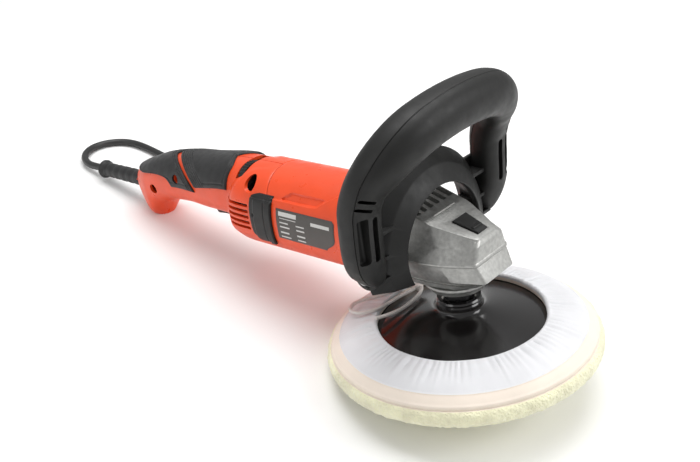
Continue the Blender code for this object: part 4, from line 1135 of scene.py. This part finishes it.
def tube(name, points, radius, finish, stands_for, body="tool_body", matrix=None, resolution=4):
    """A round cord as a curve of one open spline."""
    path = bpy.data.curves.new(name, "CURVE")
    path.dimensions = "3D"
    path.bevel_depth = radius
    path.bevel_resolution = resolution
    path.use_fill_caps = True
    spline = path.splines.new("POLY")
    spline.points.add(len(points) - 1)
    for i, point in enumerate(points):
        spline.points[i].co = (*(matrix @ point if matrix else point), 1.0)
    spline.use_smooth = True
    path.materials.append(FINISHES[finish])
    made = link(name, path)
    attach(made, body)
    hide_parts(*stands_for)
    return made


def add_drawstring():
    knot = Vector((-0.0480, 0.0120, 0.0370))
    bm = bmesh.new()
    bmesh.ops.create_uvsphere(bm, u_segments=64, v_segments=40, radius=0.0032)
    for vert in bm.verts:
        turn = math.atan2(vert.co.z, vert.co.y)
        wrap = 0.00045 * math.sin(3 * turn + 900 * vert.co.x) + 0.0002 * noise.noise(vert.co * 1500)
        vert.co *= 1 + wrap / 0.0032
        vert.co = Vector((vert.co.x * 1.3, vert.co.y * 0.95, vert.co.z * 0.85)) + knot
    piece(raw("bow", bm), "string_knot", "string", ["bow_knot"], smooth=60, body="spindle_group")
    loop = metres([
        (-59, 4, 36.8), (-68, -8, 35), (-76, -20, 34.5), (-78.5, -29, 34.5), (-74, -36.5, 34.5),
        (-65, -37, 35), (-57.5, -30, 35.8), (-53.5, -18, 36.2), (-51.5, -6, 36.8), (-49.2, 4, 37),
    ])
    loop = [knot + Vector((-0.0046, -0.0006, 0.0)), *map(Vector, loop), knot + Vector((-0.0004, -0.0035, 0.0))]
    tail = metres([
        (-40.5, 4, 36.8), (-39.2, -8, 36.2), (-40, -19, 35.8), (-42.5, -29, 36.2), (-47, -39, 36.8),
    ])
    tail = [knot + Vector((0.0046, -0.0012, 0.0)), *map(Vector, tail)]
    for name, route, node, far_end in (("string_loop", loop, "drawstring_loop", "object"),
                                       ("string_tail", tail, "drawstring_tail", "bare")):
        points = smooth_route(route, 60)
        made = tube(name, points, STRING_RADIUS, "string", [node], "spindle_group", TOOL, 3)


# ---------------------------------------------------------------- mains lead

COIL_LOW, COIL_HIGH = 0.0053, 0.0125
# Turns, radius and height of the lead's coil, counted from where the lead meets it.
COIL_PLAN = [
    (0.0, 0.0528, 0.0039), (0.12, 0.0505, 0.0044), (0.30, 0.0455, COIL_LOW), (2.30, 0.0313, COIL_LOW),
    (2.65, 0.0313, COIL_LOW + 0.0003), (3.15, 0.0313, COIL_HIGH), (3.30, 0.0313, COIL_HIGH),
    (5.30, 0.0455, COIL_HIGH), (5.50, 0.0500, 0.0121), (5.62, 0.0518, 0.0085), (5.75, 0.0528, 0.0042),
]


def coil_points():
    points = []
    turns_in_all = COIL_PLAN[-1][0]
    steps = int(turns_in_all * 40)
    for i in range(steps + 1):
        turns = turns_in_all * i / steps
        row = next(n for n in range(len(COIL_PLAN) - 1) if turns <= COIL_PLAN[n + 1][0])
        a, b = COIL_PLAN[row], COIL_PLAN[row + 1]
        share = (turns - a[0]) / (b[0] - a[0])
        radius = a[1] + (b[1] - a[1]) * share
        height = a[2] + (b[2] - a[2]) * smoothstep(share)
        points.append(COIL + polar(radius, 2 * math.pi * turns - math.pi / 2, height))
    return points


def add_mains_lead():
    start = TOOL @ Vector((RELIEF_END - GAP, 0.0, RELIEF_Z))
    along = TIP @ Vector((-1.0, 0.0, 0.0))
    level = CORD_RADIUS + 0.0004
    lane = COIL_OUTER + CORD_RADIUS + GAP
    route = [
        (-0.3072, 0.0062, level + 0.0012), (-0.3190, 0.0205, level + 0.0004), (-0.3198, 0.0385, level),
        (-0.3085, 0.0555, level), (-0.2880, 0.0628, level), (-0.2400, 0.0625, level), (-0.1900, 0.0600, level),
        (-0.1400, 0.0590, level), (-0.1000, 0.0640, level), (-0.0620, 0.0760, level), (-0.0400, 0.0840, level),
        (COIL.x, COIL.y - lane, level),
    ]
    straight = [start + along * reach for reach in (0.0, 0.010, 0.020, 0.030)]
    route = straight + [Vector(place) for place in route]
    left = COIL.x - lane
    tail = [
        (left, COIL.y, level), (left, COIL.y - 0.012, level), (left - 0.005, COIL.y - 0.024, level + 0.001),
        (left - 0.016, COIL.y - 0.036, level + 0.004), (left - 0.029, PLUG.y, PLUG.z),
        (PLUG.x + GAP, PLUG.y, PLUG.z),
    ]
    tail = [Vector(place) for place in tail]
    points = smooth_route(route, 130, 14)[:-1] + coil_points()[:-1] + smooth_route(tail, 30, 16)
    nodes = ["mains_cord", "cord_coil", "cord_tail"]
    lead = tube("mains_lead", points, CORD_RADIUS, "sheath", nodes)
    parts = [add_cord_tie()] + add_plug()


def add_cord_tie():
    low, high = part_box("cord_tie")
    strap = 0.0009
    middle = (low + high) / 2
    half = (high - low) / 2
    rows = []
    for i in range(72):
        sine, cosine = squared(2 * math.pi * i / 72, 0.45)
        outer = middle + Vector((cosine * half.x, 0, sine * half.z))
        inner = middle + Vector((cosine * (half.x - strap), 0, sine * (half.z - strap)))
        edge = Vector((0, half.y, 0))
        rows.append([outer - edge, outer + edge, inner + edge, inner - edge])
    tie = raw("tie", grid(rows, wrap=True, ring=True))
    return piece(tie, "lead_tie", "grip", ["cord_tie"], None)


def add_plug():
    """A moulded two-pin plug. Its sections are how far forward they lie, half width and half height."""
    body_length = 0.0350
    sections = metres([
        (0, 4.8, 4.8), (-0.4, 5.2, 5.2), (-9, 6, 5.6), (-11.2, 8.8, 6.6), (-13, 11.2, 7.1),
        (-16, 12.4, 7.4), (-28, 15.8, 8.5), (-33, 17, 8.9), (-34.6, 17, 8.8), (-35, 16.4, 8.3),
    ])
    rows = []
    for i in range(71):
        along = -body_length * i / 70
        half_width, half_height = curve(sections, along)
        if -0.0088 < along < -0.0010:
            squeeze = 1 - 0.10 * smoothstep(math.sin(along / 0.0019 * math.pi) * 2)
            half_width, half_height = half_width * squeeze, half_height * squeeze
        grips = 0.0005 * smoothstep(math.sin(along / 0.0016 * math.pi) * 2) if -0.029 < along < -0.018 else 0.0
        row = []
        for k in range(56):
            angle = 2 * math.pi * k / 56
            side = smoothstep((abs(math.sin(angle)) - 0.6) / 0.3)
            sine, cosine = squared(angle, 0.8)
            row.append(PLUG + Vector((along, sine * (half_width - grips * side), cosine * half_height)))
        rows.append(row)
    body = raw("plug", grid(rows, wrap=True, caps=True))
    parts = [piece(body, "mains_plug", "sheath", ["plug"], None, 40)]
    outline = metres([(0, 19), (1.2, 18.8), (2, 18), (2.4, 16.8), (2.4, 10), (2.2, 9.8), (2.2, 0), (0, 0)])
    for side, word in SIDES:
        spot = PLUG + Vector((-body_length - GAP, side * 0.0095, 0.0))
        pin = turned("pin", outline, 40, Matrix.Translation(spot) @ Matrix.Rotation(-math.pi / 2, 4, "Y"))
        parts.append(piece(pin, f"mains_pin_{word}", "plated", [f"plug_pin_{word}"], None))
    return parts


def add_relief():
    outline = [(0.0, -0.3470), (0.0066, -0.3470), (0.0066, -0.3558), (0.0074, -0.3562)]
    count = 46
    for i in range(count + 1):
        share = i / count
        x = -0.3570 + (RELIEF_END + 0.0060 + 0.3570) * share
        radius = 0.0074 - 0.0005 * share
        ring = 0.00035 * smoothstep(math.sin(share * math.pi * 11) * 3) if 0.10 < share < 0.96 else 0.0
        outline.append((radius - ring, x))
    outline += [(0.0070, RELIEF_END + 0.0045), (0.0086, RELIEF_END + 0.0026), (0.0089, RELIEF_END + 0.0014),
                (0.0087, RELIEF_END + 0.0002), (0.0080, RELIEF_END), (0.0, RELIEF_END)]
    sleeve = turned("sleeve", outline, 64, Matrix.Translation((0, 0, RELIEF_Z)) @ ALONG_X)
    piece(sleeve, "cord_sleeve", "grip", ["strain_relief"], smooth=45)


# ---------------------------------------------------------------- CAD nodes that stay in view

CARRIED = {
    "steel": ["crown_gear", "pinion_gear", "armature_shaft", "lower_spindle_bearing", "upper_spindle_bearing",
              "front_motor_bearing", "rear_motor_bearing", "armature_core", "stator_core", "trigger_pin"],
    "plated": ["pad_insert"],
    "copper": ["armature_winding", "commutator"],
    "dark": ["cooling_fan", "rear_bearing_holder", "switch_body", "speed_controller"],
    "carbon": ["carbon_brush_left", "carbon_brush_right"],
    "brass": ["brush_holder_left", "brush_holder_right"],
    "foam": ["foam_disc"],
}


def dress_cad_nodes():
    for finish, names in CARRIED.items():
        for name in names:
            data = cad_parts[name].data
            data.materials.clear()
            data.materials.append(FINISHES[finish])


FINISHES = make_finishes()
add_camera()
add_mains_lead()
add_drawstring()
add_studio()
add_motor_housing()
add_handle_shell(1, "left")
add_handle_shell(-1, "right")
add_grip_pads()
add_brush_covers()
add_rating_plate()
add_gear_case()
add_gear_details()
add_screws()
add_loop_handle()
add_controls()
add_pad()
add_bonnet()
add_relief()
dress_cad_nodes()
